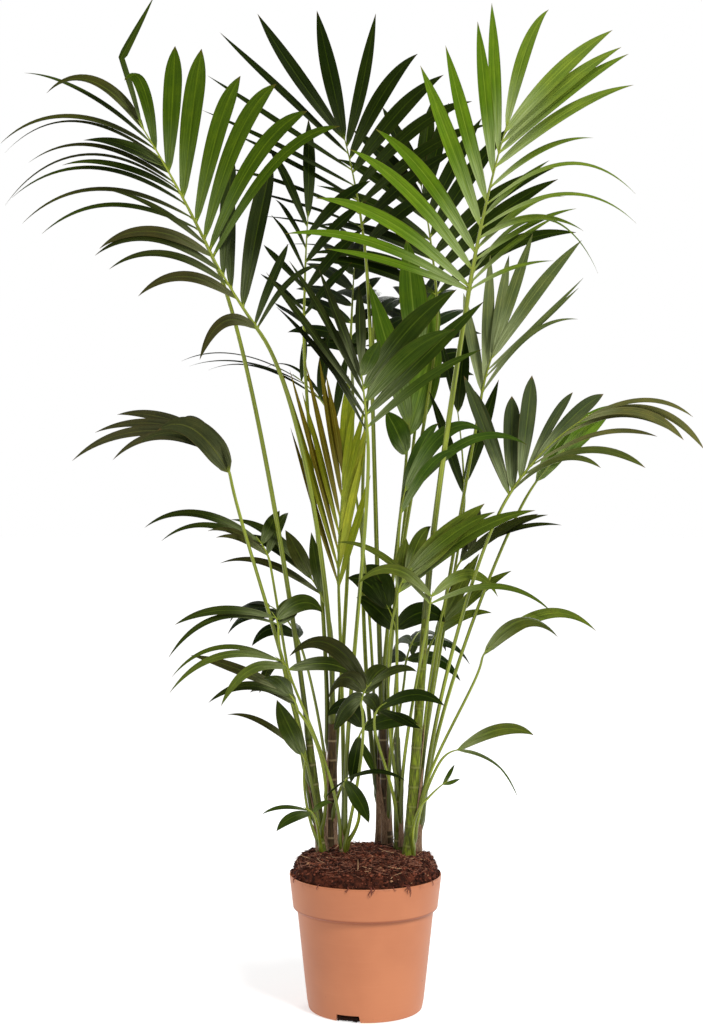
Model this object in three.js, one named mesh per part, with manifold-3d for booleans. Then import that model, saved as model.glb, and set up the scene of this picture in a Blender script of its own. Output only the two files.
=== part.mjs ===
// A kentia palm, a clump of young plants in one round nursery pot.
// Millimetres, +Z up. The pot's underside stands on z = 0, centred on the z axis, the front is -Y.
import * as THREE from 'three';
import { mergeVertices } from 'three/addons/utils/BufferGeometryUtils.js';
import Module from 'manifold-3d';

const wasm = await Module();
wasm.setup();

// ---- driving sizes -------------------------------------------------------------------------
const CLEAR = 0.3; // air between neighbouring pieces
const TOP_CLEAR = 0.8; // air under a stalk that stands on the end of a cane

const POT_HEIGHT = 211;
const RIM_RADIUS = 120;
const BAND_RADIUS = 114.5; // lower edge of the collar band
const BAND_FOOT = 159; // height of that edge
const NECK_RADIUS = 107.5; // body just under the band
const FOOT_RADIUS = 90;
const WALL = 2.2;
const FLOOR = 14; // thick enough to take the drain notches
const ROUND_SEGMENTS = 32;

const NOTCH_WIDTH = 39;
const NOTCH_HEIGHT = 11;
const NOTCH_DEPTH = 15;
const NOTCH_COUNT = 3;
const FIRST_NOTCH = -108; // degrees round from +X, just left of the front

const SOIL_CROWN = 250; // top of the heaped compost on the axis
const SOIL_HEAP = [SOIL_CROWN, 246, 238]; // its height on the axis, half way out and at its shoulder
const SOIL_SHOULDER = 95;
const SOIL_FLANK = [[104, 233], [111, 226]]; // radius and height of the slope outside the shoulder
const SOIL_EDGE = 208; // where it meets the pot's wall

const CANE_SIDES = 7;
const CANE_STEPS = 5;
const CANE_FLARE_HEIGHT = 26; // of the swelling at the soil
const CANE_FLARE = 0.2; // its extra radius per cane radius
const CANE_TOP = 0.6; // radius at the top per radius at the foot
const CANE_SUNK = 14;
const STALK_SIDES = 4;
const STALK_STEPS = 8;
const RACHIS_SIDES = 3;
const RACHIS_STEPS = 3;
const LEAF_STEPS = 12; // steps along a leaflet's midrib
const LONG_RINGS = [0, 3, 6, 10, 12]; // the steps that carry a section
const SHORT_RINGS = [0, 4, 8, 12];
const LONG_LEAF = 240;
const LEAF_MIN_THICK = 2.4;
const LEAF_THICK_SHARE = 0.0112; // thickness per length
const LEAF_ROOT = [0.35, 0.25]; // section sunk in the rachis, per rachis radius
const LEAF_BASE_SHARE = 0.3; // width at the rachis per greatest width
const STALK_SPREAD = 1.45; // stalk radius at its cane per radius at the blade
const STALK_OFF = 0.75; // stalk's middle off the cane's skin, per stalk radius
const STALK_SUNK = 0.4; // and how much closer the very foot of a three-sided one is
const STALK_RISE = 0.3; // how far it keeps to the cane's line, per its own reach
const STALK_EASE = 0.17; // and how far ahead it turns into the rachis
const RACHIS_END = 1.3; // radius of the rachis at its tip
const FIRST_LEAF = 10; // no leaflet nearer to the end of the stalk
const LAST_LEAF = 2; // nor nearer to the rachis's tip
const STRAP_FROM = 0.55; // leaflets widest beyond this are straps with a blunt end
const STRAP_TAPER = 3.2;
const LANCE_TAPER = 2.1;
const AIM_PASSES = 10;
const LEAF_ASIDE = 0.15; // a leaf root is this far off the rachis's middle, per its radius

// Neighbours are kept clear of each other: each piece is measured as a set of thin rods.
const ROD_REACH = 6; // how far round a piece its neighbours are looked for
const LIMB_AIR = 1.2;
const LEAF_AIR = 0.5;
const LEAF_LINES = 7; // between the rods that stand for a leaflet
const STALK_TURNS = [0, 40, -40, 80, -80, 120, -120, 160]; // ways round the cane to try
const STALK_BENDS = [0, 9, -9, 18, -18, 28, -28]; // sideways swings to try
// turns of a leaflet to try, in splay and in lift, and shorter lengths
const LEAF_TURNS = [
  [0, 0], [0, 10], [0, -10], [6, 0], [-6, 0], [0, 20], [0, -20], [11, 0], [-11, 0],
  [8, 14], [-8, 14], [8, -14], [-8, -14], [0, 30], [0, -30],
];
const LEAF_SHORTER = [1, 0.82, 0.66];
const ROOT_SIZES = [1, 1.12, 0.9, 1.24, 0.8, 1.36]; // of a leaf root, tried till it joins cleanly
const CUT_SIZES = [1, 1.07, 1.15, 1.24, 1.34]; // of the air round a cane, tried the same way
const CORNER_GAP = 0.002; // two corners of a piece are at least this far apart

// ---- canes: foot on the soil, lean per 100 mm, height over the soil, radius ------------------
const CANES = {
  a: { at: [-68, 8], lean: [-12, -2], height: 200, radius: 9, color: 0x6a4a34 },
  b: { at: [-55, 50], lean: [1, 3], height: 220, radius: 10, color: 0x4b3527 },
  c: { at: [-34, -14], lean: [0, -4], height: 70, radius: 6, color: 0x86a83c },
  d: { at: [36, 52], lean: [-4, 1], height: 230, radius: 9, color: 0x4b3527 },
  e: { at: [54, 14], lean: [-2, -3], height: 180, radius: 8, color: 0x6d6b35 },
  f: { at: [68, -18], lean: [7, -2], height: 395, radius: 9.5, color: 0x84a03a },
  g: { at: [26, 90], lean: [0, 5], height: 170, radius: 9, color: 0x4b3527 },
  h: { at: [81, 26], lean: [7, 0], height: 90, radius: 8, color: 0x7d8a3e },
};

// ---- fronds ------------------------------------------------------------------------------------
// cane, start: which cane the stalk leaves, and how far up it ('top' stands on the cane's end).
// foot, tip: the two ends of the leaf-bearing rachis. bow: its upward bow per length.
// face: the compass angle the blade looks to. width: of a leaflet, widest: where, per length.
// stalk: diameter at the blade. own: the stalk is a piece of its own.
// left, right: the two rows of leaflets; length and splay at the foot, middle and tip of the
// rachis, droop and roll at its foot and tip, lift off the blade's plane, span along the rachis.
// Or tips, leaflet by leaflet: place along the rachis, across (x) and height (z) of its tip,
// droop, width per frond.width, and where one is kinked the kink's x and z at half its length.
// deep: how far the tips stand behind their roots, at the foot and the tip of the rachis.
// A row may have a widest place of its own.
const FRONDS = [
  {
    name: 'left_high', cane: 'a', start: 'top', foot: [-229, -105, 1160], tip: [-330, -200, 1348],
    bow: 0.02, face: -100, width: 27, widest: 0.62, stalk: 6, tone: 'mid', own: true,
    left: {
      deep: [20, 30], roll: [82, 84], widest: 0.38,
      tips: [
        [1, -320, 1541, 0, 0.5, -362, 1450], [0.96, -474, 1404, 0.95, 0.9],
        [0.86, -526, 1415, 0.36, 0.5], [0.82, -546, 1332, 0.7, 0.5],
        [0.76, -540, 1318, 0.78, 0.35], [0.7, -423, 1340, 0.3, 1.05],
        [0.65, -380, 1338, 0.2, 1], [0.58, -508, 1310, 0.62, 0.5],
        [0.54, -550, 1268, 0.94, 0.35], [0.5, -449, 1316, 0.4, 0.65],
        [0.42, -536, 1258, 0.7, 0.5], [0.32, -522, 1220, 0.7, 0.5],
        [0.24, -494, 1206, 0.62, 0.45],
      ],
    },
    right: {
      deep: [-130, -60], roll: [10, 5],
      tips: [
        [0.82, -345, 1397, 1.5, 0.8], [0.66, -273, 1449, 0.1, 1], [0.47, -236, 1446, 0.4, 1.08],
        [0.29, -179, 1406, 0.6, 1], [0.17, -131, 1398, 0.7, 0.95], [0.09, -87, 1363, 0.6, 0.85],
        [0.03, -38, 1336, 0.6, 0.6],
      ],
    },
  },
  {
    name: 'left_mid', cane: 'b', start: 'top', foot: [-159, -120, 1051], tip: [-240, -150, 1184],
    bow: -0.02, face: -100, width: 27, widest: 0.58, stalk: 6, tone: 'dark', own: true,
    left: {
      deep: [-70, -60], roll: [45, 45], widest: 0.38,
      tips: [
        [0.97, -374, 1253, 0.31, 0.35], [0.85, -390, 1166, 0.7, 0.65],
        [0.7, -397, 1157, 0.7, 0.5], [0.55, -375, 1135, 0.7, 0.5], [0.4, -333, 1097, 0.78, 0.6],
        [0.05, -247, 1008, 1.5, 0.7],
      ],
    },
    right: {
      deep: [110, 120], roll: [12, 12],
      tips: [
        [0.8, -262, 1332, 0.05, 0.9], [0.65, -224, 1357, 0.05, 0.95],
        [0.5, -188, 1357, 0.05, 1], [0.3, -151, 1334, 0.05, 1.2], [0.1, -126, 1204, 0.05, 0.6],
        [0.03, -77, 1171, 0.47, 0.4],
      ],
    },
  },
  {
    name: 'back_left', cane: 'b', start: 170, foot: [-100, 90, 1080], tip: [-94, 120, 1272],
    bow: 0.03, face: -90, width: 24, widest: 0.55, stalk: 5, tone: 'dark', own: true,
    left: {
      deep: [80, 60], roll: [50, 20],
      tips: [
        [0.98, -91, 1445, 0, 0.9], [0.9, -166, 1403, 0.23, 0.75], [0.7, -150, 1308, 0.39, 0.4],
        [0.5, -154, 1284, 0.23, 0.4], [0.34, -171, 1231, 0.05, 0.7],
        [0.16, -175, 1184, 0.05, 0.7], [0.02, -153, 1134, 0.05, 0.55],
      ],
    },
    right: {
      deep: [-60, -50], roll: [40, 20],
      tips: [
        [0.8, 8, 1320, 0.23, 1], [0.58, 3, 1281, 0.23, 1], [0.32, -5, 1239, 0.2, 0.9],
        [0.12, -20, 1180, 0.2, 0.7],
      ],
    },
  },
  {
    name: 'back_mid', cane: 'd', start: 'top', foot: [4, 140, 1180], tip: [-34, 110, 1400],
    bow: 0.03, face: -90, width: 29, widest: 0.5, stalk: 6, tone: 'dark', own: true,
    left: {
      deep: [60, 60], roll: [70, 20],
      tips: [
        [0.98, -184, 1621, -0.15, 0.85], [0.88, -246, 1591, 0, 0.5], [0.76, -266, 1520, 0, 0.4],
        [0.64, -277, 1462, 0.05, 0.4], [0.54, -238, 1423, 0.05, 0.4],
        [0.44, -243, 1366, 0.1, 0.35], [0.34, -217, 1329, 0.1, 0.35],
        [0.24, -175, 1288, 0.1, 0.35], [0.14, -134, 1238, 0.1, 0.35],
      ],
    },
    right: {
      deep: [-150, -120], roll: [20, 10],
      tips: [
        [0.99, -79, 1572, 0.05, 0.95], [0.93, 11, 1569, -0.7, 0.75],
        [0.84, 86, 1501, 0.45, 0.9], [0.74, 123, 1473, 0.31, 0.9], [0.62, 168, 1432, 0.39, 0.8],
        [0.5, 192, 1398, 0.31, 0.7], [0.36, 144, 1348, 0.23, 0.8], [0.2, 115, 1290, 0.23, 0.8],
      ],
    },
  },
  {
    name: 'right_high', cane: 'f', start: 'top', foot: [151, -160, 1102], tip: [200, -250, 1335],
    bow: 0.03, face: -85, width: 25, widest: 0.5, stalk: 7, tone: 'bright', own: true,
    left: {
      deep: [-120, -50], roll: [10, 5],
      tips: [
        [0, -59, 1148, 0.15, 0.45], [0.02, -116, 1182, 0.31, 0.6], [0.06, -73, 1221, 0.39, 0.8],
        [0.16, -25, 1295, 0.35, 0.8], [0.26, 11, 1321, 0.39, 0.85], [0.41, 75, 1412, 0.1, 0.95],
        [0.56, 111, 1440, -0.25, 0.9], [0.72, 160, 1473, -0.6, 0.8],
        [0.84, 170, 1497, -0.3, 0.75],
      ],
    },
    right: {
      deep: [90, 60], roll: [60, 25],
      tips: [
        [1, 265, 1520, 0.8, 0.75], [0.96, 360, 1494, 0.2, 0.9], [0.9, 376, 1468, 0.2, 0.8],
        [0.84, 390, 1460, 0.2, 0.7], [0.76, 395, 1422, 0.27, 0.75],
        [0.64, 340, 1341, 0.39, 0.45], [0.54, 408, 1263, 0.78, 0.3],
        [0.47, 279, 1311, 0.2, 0.45], [0.4, 410, 1222, 0.7, 0.35],
        [0.34, 330, 1208, 0.51, 0.55], [0.28, 329, 1251, 0.39, 0.5],
        [0.21, 321, 1246, 0.2, 0.45], [0.14, 377, 1132, 1.3, 0.4], [0.08, 320, 1225, 0.2, 0.45],
        [0.03, 288, 1169, 0.23, 0.45],
      ],
    },
  },
  {
    name: 'back_right', cane: 'd', start: 170, foot: [125, 220, 1145], tip: [100, 280, 1355],
    bow: 0.03, face: -90, width: 31, widest: 0.45, stalk: 5, tone: 'dark', own: true,
    left: {
      count: 7, length: [260, 270, 200], splay: [56, 42, 14], droop: [0.3, 0.1], roll: [20, 20],
      lift: 24, span: [0, 1],
    },
    right: {
      count: 7, length: [270, 230, 170], splay: [60, 44, 16], droop: [0.4, 0.1], roll: [20, 20],
      lift: -24, span: [0, 1],
    },
  },
  {
    name: 'back_broad', cane: 'g', start: 'top', foot: [70, 170, 870], tip: [95, 220, 1060],
    bow: 0.03, face: -80, width: 52, widest: 0.45, stalk: 5, tone: 'bright', own: false,
    left: {
      deep: [-60, -40], roll: [10, 10],
      tips: [
        [0.9, 71, 1243, 0.05, 1], [0.3, 11, 1164, 0.05, 0.9], [0.04, 35, 948, 0.1, 0.8],
      ],
    },
    right: {
      count: 2, length: [200, 210, 180], splay: [12, 10, 4], droop: [0.1, 0.1], roll: [10, 10],
      lift: 0, span: [0.1, 0.7],
    },
  },
  {
    name: 'front_mid', cane: 'c', start: 50, foot: [2, -200, 885], tip: [-8, -230, 985],
    bow: 0.03, face: -80, width: 28, widest: 0.5, stalk: 5, tone: 'dark', own: true,
    left: {
      deep: [80, 60], roll: [60, 20],
      tips: [
        [0.98, -14, 1117, 0, 0.65], [0.85, -74, 1143, 0, 0.6], [0.7, -117, 1156, 0.2, 0.5],
        [0.52, -152, 1140, 0.05, 0.5], [0.32, -134, 1090, 0.25, 0.5],
        [0.12, -94, 1070, 0.05, 0.45],
      ],
    },
    right: {
      deep: [-110, -80], roll: [20, 10],
      tips: [
        [0.94, 16, 1023, 0, 0.8], [0.74, 125, 1092, 0.35, 1.15], [0.56, 123, 1037, 0.39, 0.95],
        [0.38, 162, 1066, 0.1, 0.85], [0.2, 159, 1010, 0.23, 0.5],
      ],
    },
  },
  {
    name: 'right_back', cane: 'h', start: 'top', foot: [190, 90, 968], tip: [212, 100, 1045],
    bow: 0.03, face: -75, width: 24, widest: 0.5, stalk: 5, tone: 'silver', own: true,
    left: {
      deep: [80, 80], roll: [10, 10],
      tips: [
        [0, 165, 1151, 0, 1], [0.35, 212, 1216, 0, 0.95], [0.8, 234, 1223, 0, 0.85],
      ],
    },
    right: {
      deep: [-70, -70], roll: [50, 10],
      tips: [
        [0.1, 338, 1085, 0.65, 0.45], [0.45, 348, 1157, 0, 0.35], [0.6, 331, 1148, 0, 0.35],
        [0.85, 346, 1217, 0.25, 0.9], [0.98, 282, 1223, 0.05, 0.8],
      ],
    },
  },
  {
    name: 'right_low', cane: 'h', start: 60, foot: [213, -100, 800], tip: [330, -150, 925],
    bow: 0.06, face: -100, width: 25, widest: 0.58, stalk: 5, tone: 'dark', own: true,
    left: {
      deep: [80, 60], roll: [10, 20],
      tips: [
        [0, 157, 996, 0, 0.75], [0.05, 167, 975, 0, 0.9], [0.1, 212, 973, 0, 1.1],
        [0.22, 261, 996, 0.05, 0.95], [0.32, 324, 968, 0.27, 0.6], [0.42, 371, 963, 0.27, 0.9],
      ],
    },
    right: {
      deep: [-90, -60], roll: [60, 50],
      tips: [
        [0.08, 344, 846, 0.7, 0.45], [0.25, 409, 847, 0.62, 0.5], [0.35, 426, 893, 0.45, 0.35],
        [0.65, 446, 897, 0.65, 0.38], [0.8, 476, 920, 0.65, 0.38], [0.9, 464, 883, 0.75, 0.55],
        [0.98, 490, 870, 0.85, 0.55],
      ],
    },
  },
  {
    name: 'right_edge', cane: 'h', start: 50, foot: [254, 20, 801], tip: [330, 30, 890],
    bow: 0.05, face: -100, width: 30, widest: 0.45, stalk: 5, tone: 'bright', own: false,
    left: {
      deep: [50, 50], roll: [20, 20],
      tips: [
        [0.6, 407, 960, 0.2, 1.25], [0.3, 359, 935, 0.2, 1.05],
      ],
    },
    right: {
      deep: [-40, -40], roll: [40, 40],
      tips: [
        [0.85, 403, 949, 0.2, 0.4], [0.25, 335, 920, 0.2, 0.4],
      ],
    },
  },
  {
    name: 'left_arch', cane: 'a', start: 120, foot: [-207, -80, 832], tip: [-262, -98, 910],
    bow: 0.12, face: -110, width: 34, widest: 0.45, stalk: 5, tone: 'dusky', own: false,
    left: {
      deep: [-90, 60], roll: [50, 50], widest: 0.3,
      tips: [
        [1, -387, 935, 0.23, 0.5], [0.86, -415, 916, 0.35, 0.45], [0.66, -448, 868, 0.58, 0.5],
        [0.42, -386, 863, 0.74, 0.5], [0.22, -342, 882, 0.78, 0.5], [0.1, -310, 903, 0.86, 1.2],
      ],
    },
    right: {
      deep: [50, 50], roll: [30, 30],
      tips: [
        [0.08, -291, 921, 0.86, 1.5],
      ],
    },
  },
  {
    name: 'left_low', cane: 'a', start: 60, foot: [-150, -30, 705], tip: [-166, -40, 738],
    bow: 0.05, face: -90, width: 19, widest: 0.45, stalk: 4, tone: 'dark', own: false,
    left: {
      deep: [-60, 50], roll: [40, 40], widest: 0.36,
      tips: [
        [0.9, -351, 760, 0.62, 0.75], [0.6, -320, 735, 0.7, 0.6], [0.35, -244, 751, 0.55, 0.6],
        [0.1, -234, 744, 0.47, 0.6],
      ],
    },
    right: {
      deep: [60, 60], roll: [10, 10],
      tips: [
        [0.8, -136, 783, 0.23, 1.1], [0.3, -94, 788, 0.39, 1],
      ],
    },
  },
  {
    name: 'left_shade', cane: 'b', start: 80, foot: [-68, 60, 640], tip: [-100, 70, 690],
    bow: 0.05, face: -90, width: 26, widest: 0.45, stalk: 4, tone: 'dark', own: false,
    left: {
      deep: [60, 50], roll: [30, 30],
      tips: [
        [0.95, -223, 768, 0.47, 0.9], [0.6, -208, 744, 0.39, 0.9], [0.15, -240, 696, 0.47, 0.6],
      ],
    },
    right: {
      deep: [-50, -50], roll: [20, 20],
      tips: [
        [0.7, -128, 753, 0.1, 1], [0.1, -85, 749, 0, 0.75],
      ],
    },
  },
  {
    name: 'spear', cane: 'c', start: 'top', foot: [-42, 30, 640], tip: [-32, 40, 850],
    bow: 0.03, face: -90, width: 13, widest: 0.45, stalk: 5, tone: 'spear', own: false,
    left: {
      deep: [30, 0], roll: [30, 30],
      tips: [
        [0.12, -122, 918, 0, 0.8], [0.24, -136, 1004, 0, 0.9], [0.36, -116, 1012, 0, 0.85],
        [0.5, -100, 975, 0, 0.85], [0.62, -95, 1024, 0, 0.95], [0.78, -77, 1030, 0, 1],
        [0.92, -62, 1004, 0, 0.9],
      ],
    },
    right: {
      deep: [0, 0], roll: [40, 15],
      tips: [
        [0.98, -40, 1002, 0, 1.6], [0.84, -18, 968, 0, 1], [0.68, -4, 950, 0, 1.1],
        [0.52, 3, 926, 0, 1.2], [0.37, 5, 898, 0, 1.2], [0.23, -3, 872, 0, 1.2],
        [0.1, -12, 846, 0, 1.1],
      ],
    },
  },
  {
    name: 'back_low_left', cane: 'g', start: 80, foot: [-45, 150, 925], tip: [-115, 175, 1010],
    bow: 0.06, face: -90, width: 22, widest: 0.45, stalk: 4, tone: 'dark', own: false,
    left: {
      deep: [80, 60], roll: [50, 50],
      tips: [
        [0.95, -316, 1041, 0.47, 0.5], [0.8, -295, 1057, 0.39, 0.4],
        [0.5, -267, 1027, 0.47, 0.4], [0.2, -174, 1027, 0.86, 0.6],
      ],
    },
    right: {
      deep: [-60, -60], roll: [30, 20],
      tips: [
        [0.9, -96, 1085, 0.1, 0.6], [0.5, -59, 1078, 0.1, 0.9], [0.1, -28, 1052, 0.1, 0.8],
      ],
    },
  },
  {
    name: 'back_dark', cane: 'h', start: 30, foot: [165, 120, 800], tip: [155, 140, 950],
    bow: 0.03, face: -70, width: 24, widest: 0.45, stalk: 4, tone: 'dark', own: false,
    left: {
      count: 2, length: [180, 200, 150], splay: [20, 11, 3], droop: [0.1, 0.1], roll: [20, 20],
      lift: 25, span: [0, 1],
    },
    right: {
      count: 2, length: [180, 200, 150], splay: [20, 11, 3], droop: [0.2, 0.1], roll: [20, 20],
      lift: -25, span: [0, 1],
    },
  },
  {
    name: 'curl', cane: 'e', start: 140, foot: [54, -30, 770], tip: [61, -45, 815],
    bow: 0.03, face: -80, width: 26, widest: 0.45, stalk: 4, tone: 'dark', own: false,
    left: {
      deep: [50, 50], roll: [10, 10],
      tips: [
        [0.5, 117, 924, 0.8, 1],
      ],
    },
    right: {
      deep: [-80, -70], roll: [20, 20],
      tips: [
        [0.95, 181, 905, 1, 0.9], [0.6, 245, 885, 0.8, 0.6], [0.15, 145, 877, 0.7, 0.6],
      ],
    },
  },
  {
    name: 'mid_right', cane: 'e', start: 100, foot: [48, -60, 640], tip: [66, -72, 690],
    bow: 0.1, face: -90, width: 27, widest: 0.45, stalk: 4, tone: 'mid', own: false,
    left: {
      deep: [50, 40], roll: [10, 10],
      tips: [
        [0.9, 114, 747, 0.7, 0.9], [0.4, 64, 741, 0, 1],
      ],
    },
    right: {
      deep: [-70, -60], roll: [30, 20],
      tips: [
        [0.95, 192, 786, 0.25, 0.7], [0.6, 178, 790, 0.15, 1.3], [0.3, 255, 780, 0.39, 0.9],
      ],
    },
  },
  {
    name: 'mid_right_b', cane: 'h', start: 40, foot: [146, 20, 694], tip: [170, 26, 722],
    bow: 0.05, face: -90, width: 24, widest: 0.45, stalk: 4, tone: 'dark', own: false,
    left: {
      deep: [60, 60], roll: [40, 40],
      tips: [
        [0.8, 189, 786, 0.23, 0.8], [0.2, 178, 768, 0.23, 0.6],
      ],
    },
    right: {
      deep: [-50, -50], roll: [40, 40],
      tips: [
        [0.85, 306, 758, 0.39, 0.45], [0.55, 286, 778, 0.27, 0.6], [0.25, 279, 768, 0.27, 0.9],
      ],
    },
  },
  {
    name: 'mid_arch', cane: 'e', start: 60, foot: [97, -85, 632], tip: [101, -92, 655],
    bow: 0.03, face: -90, width: 25, widest: 0.45, stalk: 4, tone: 'dark', own: false,
    left: {
      deep: [-80, -60], roll: [20, 20],
      tips: [
        [0.9, -12, 672, 0.94, 0.65], [0.3, -42, 725, 0.55, 0.45],
      ],
    },
    right: {
      deep: [50, 60], roll: [20, 20],
      tips: [
        [0.9, 218, 637, 1.01, 0.75], [0.3, 292, 621, 0.7, 0.4],
      ],
    },
  },
  {
    name: 'mid_fan', cane: 'f', start: 200, foot: [105, 60, 565], tip: [128, 70, 602],
    bow: 0.03, face: -90, width: 26, widest: 0.45, stalk: 4, tone: 'mid', own: false,
    left: {
      deep: [60, 60], roll: [20, 20],
      tips: [
        [0.9, 154, 700, 0.1, 1], [0.4, 176, 715, 0.1, 0.9],
      ],
    },
    right: {
      deep: [-50, -50], roll: [20, 20],
      tips: [
        [0.9, 233, 690, 0.2, 0.8], [0.4, 201, 619, 0.47, 0.6],
      ],
    },
  },
  {
    name: 'left_broad', cane: 'a', start: 50, foot: [-135, -60, 598], tip: [-141, -66, 622],
    bow: 0.1, face: -80, width: 27, widest: 0.45, stalk: 4, tone: 'dark', own: false,
    left: {
      deep: [-60, -50], roll: [40, 40], widest: 0.5,
      tips: [
        [0.85, -288, 609, 0.43, 0.5], [0.4, -300, 563, 0.86, 0.36],
      ],
    },
    right: {
      deep: [50, 50], roll: [20, 20],
      tips: [
        [0.7, -67, 625, 0.86, 1], [0.2, -114, 642, 0.31, 1.2],
      ],
    },
  },
  {
    name: 'low_left', cane: 'a', start: 40, foot: [-104, -90, 478], tip: [-126, -100, 514],
    bow: 0.1, face: -100, width: 28, widest: 0.45, stalk: 4, tone: 'dark', own: false,
    left: {
      deep: [60, 50], roll: [40, 40],
      tips: [
        [0.85, -273, 556, 0.15, 0.6], [0.5, -244, 483, 0.62, 0.5], [0.1, -180, 500, 0.7, 1],
      ],
    },
    right: {
      deep: [-60, -50], roll: [20, 20],
      tips: [
        [0.6, -156, 533, 0.7, 1.2],
      ],
    },
  },
  {
    name: 'low_left_b', cane: 'c', start: 20, foot: [-116, -75, 530], tip: [-132, -85, 556],
    bow: 0.1, face: -100, width: 25, widest: 0.45, stalk: 4, tone: 'mid', own: false,
    left: {
      deep: [-60, -60], roll: [40, 40],
      tips: [
        [0.9, -295, 512, 0.78, 0.5], [0.7, -292, 532, 0.78, 0.3], [0.4, -215, 490, 1.17, 0.65],
      ],
    },
    right: {
      deep: [50, 50], roll: [20, 20],
      tips: [
        [0.8, -170, 492, 1.25, 0.65], [0.2, -8, 515, 0.62, 0.9],
      ],
    },
  },
  {
    name: 'low_left_c', cane: 'a', start: 22, foot: [-94, -28, 392], tip: [-104, -32, 412],
    bow: 0.02, face: -90, width: 26, widest: 0.45, stalk: 3.5, tone: 'dark', own: false,
    left: {
      deep: [50, 50], roll: [30, 30],
      tips: [
        [0.8, -220, 461, 0.4, 0.42],
      ],
    },
    right: {
      deep: [-30, -30], roll: [10, 10],
      tips: [
        [0.3, -139, 491, 0, 1.25],
      ],
    },
  },
  {
    name: 'foot_left', cane: 'a', start: 10, foot: [-78, -50, 306], tip: [-90, -58, 322],
    bow: 0.1, face: -90, width: 16, widest: 0.45, stalk: 4, tone: 'mid', own: false,
    left: {
      deep: [40, 40], roll: [30, 10],
      tips: [
        [0.8, -163, 307, 0.39, 0.5], [0.3, -141, 279, 0.55, 1],
      ],
    },
    right: {
      deep: [-30, -30], roll: [10, 10],
      tips: [
        [0.5, -50, 335, 0.62, 0.6],
      ],
    },
  },
  {
    name: 'right_bifid', cane: 'f', start: 60, foot: [180, -50, 551], tip: [190, -58, 570],
    bow: 0.1, face: -90, width: 32, widest: 0.45, stalk: 4, tone: 'mid', own: false,
    left: {
      deep: [-60, -60], roll: [15, 15],
      tips: [
        [0.6, 291, 592, 1.1, 1],
      ],
    },
    right: {
      deep: [60, 60], roll: [30, 30],
      tips: [
        [0.4, 368, 596, 0.8, 0.6],
      ],
    },
  },
  {
    name: 'right_small', cane: 'f', start: 30, foot: [118, -70, 402], tip: [143, -80, 417],
    bow: 0.1, face: -90, width: 22, widest: 0.45, stalk: 4, tone: 'mid', own: false,
    left: {
      deep: [60, 60], roll: [-35, -35],
      tips: [
        [0.9, 263, 429, 0.55, 1.1],
      ],
    },
    right: {
      deep: [-60, -60], roll: [10, 10],
      tips: [
        [0.9, 228, 355, 1, 1],
      ],
    },
  },
  {
    name: 'foot_right', cane: 'f', start: 15, foot: [95, -60, 338], tip: [122, -66, 364],
    bow: 0.03, face: -90, width: 10, widest: 0.45, stalk: 4, tone: 'mid', own: false,
    left: {
      deep: [0, 0], roll: [0, 0],
      tips: [
        [0.9, 138, 392, 0, 0.7],
      ],
    },
    right: {
      deep: [0, 0], roll: [0, 0],
      tips: [
        [0.9, 146, 369, 0, 0.7],
      ],
    },
  },
  {
    name: 'center_low', cane: 'c', start: 15, foot: [-8, -118, 492], tip: [4, -134, 522],
    bow: 0.1, face: -90, width: 28, widest: 0.45, stalk: 4, tone: 'dark', own: false,
    left: {
      deep: [-60, -50], roll: [20, -5],
      tips: [
        [0.9, -113, 569, 1.1, 1.1], [0.55, -55, 507, 1.4, 1.2], [0.2, -49, 458, 0.9, 1.3],
      ],
    },
    right: {
      deep: [50, 40], roll: [10, 10],
      tips: [
        [0.9, 78, 539, 0.6, 0.6], [0.5, 33, 543, 0.5, 1.1], [0.15, 27, 464, 0.9, 0.8],
      ],
    },
  },
  {
    name: 'center_dark', cane: 'b', start: 60, foot: [-14, -50, 420], tip: [0, -62, 455],
    bow: 0.05, face: -80, width: 32, widest: 0.45, stalk: 4, tone: 'dark', own: false,
    left: {
      deep: [0, 0], roll: [10, 10],
      tips: [
        [0.8, -58, 488, 1.3, 1.1], [0.4, -20, 362, 0.3, 0.7],
      ],
    },
    right: {
      deep: [0, 0], roll: [10, 10],
      tips: [
        [0.7, 81, 454, 0.5, 0.9], [0.2, 12, 370, 0.6, 0.4],
      ],
    },
  },
  {
    name: 'center_back', cane: 'd', start: 60, foot: [50, 20, 585], tip: [36, 12, 630],
    bow: 0.05, face: -80, width: 36, widest: 0.45, stalk: 4, tone: 'dark', own: false,
    left: {
      count: 2, length: [80, 90, 90], splay: [30, 20, 6], droop: [0.4, 0.6], roll: [10, 10],
      lift: 0, span: [0, 1],
    },
    right: {
      count: 2, length: [90, 100, 90], splay: [60, 40, 10], droop: [1, 1], roll: [10, 10],
      lift: 0, span: [0, 1],
    },
  },
  {
    name: 'low_center', cane: 'c', start: 18, foot: [-34, -100, 366], tip: [-30, -112, 378],
    bow: 0.1, face: -90, width: 22, widest: 0.45, stalk: 4, tone: 'dark', own: false,
    left: {
      deep: [0, 0], roll: [-20, -20],
      tips: [
        [0.9, 60, 374, 0.6, 0.5], [0.2, -62, 345, 0.62, 0.5],
      ],
    },
    right: {
      deep: [-10, -10], roll: [35, 35],
      tips: [
        [0.6, 6, 312, 0.7, 1.1],
      ],
    },
  },
  {
    name: 'low_right', cane: 'e', start: 50, foot: [14, -80, 470], tip: [26, -92, 488],
    bow: 0.1, face: -90, width: 23, widest: 0.45, stalk: 4, tone: 'dark', own: false,
    left: {
      deep: [0, 0], roll: [20, 20],
      tips: [
        [0.5, 84, 449, 0.23, 1],
      ],
    },
    right: {
      deep: [0, 0], roll: [20, 20],
      tips: [
        [0.5, 122, 487, 0.7, 0.9],
      ],
    },
  },
  {
    name: 'rear_left', cane: 'b', start: 90, foot: [-24, 262, 1070], tip: [-16, 400, 1240],
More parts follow.
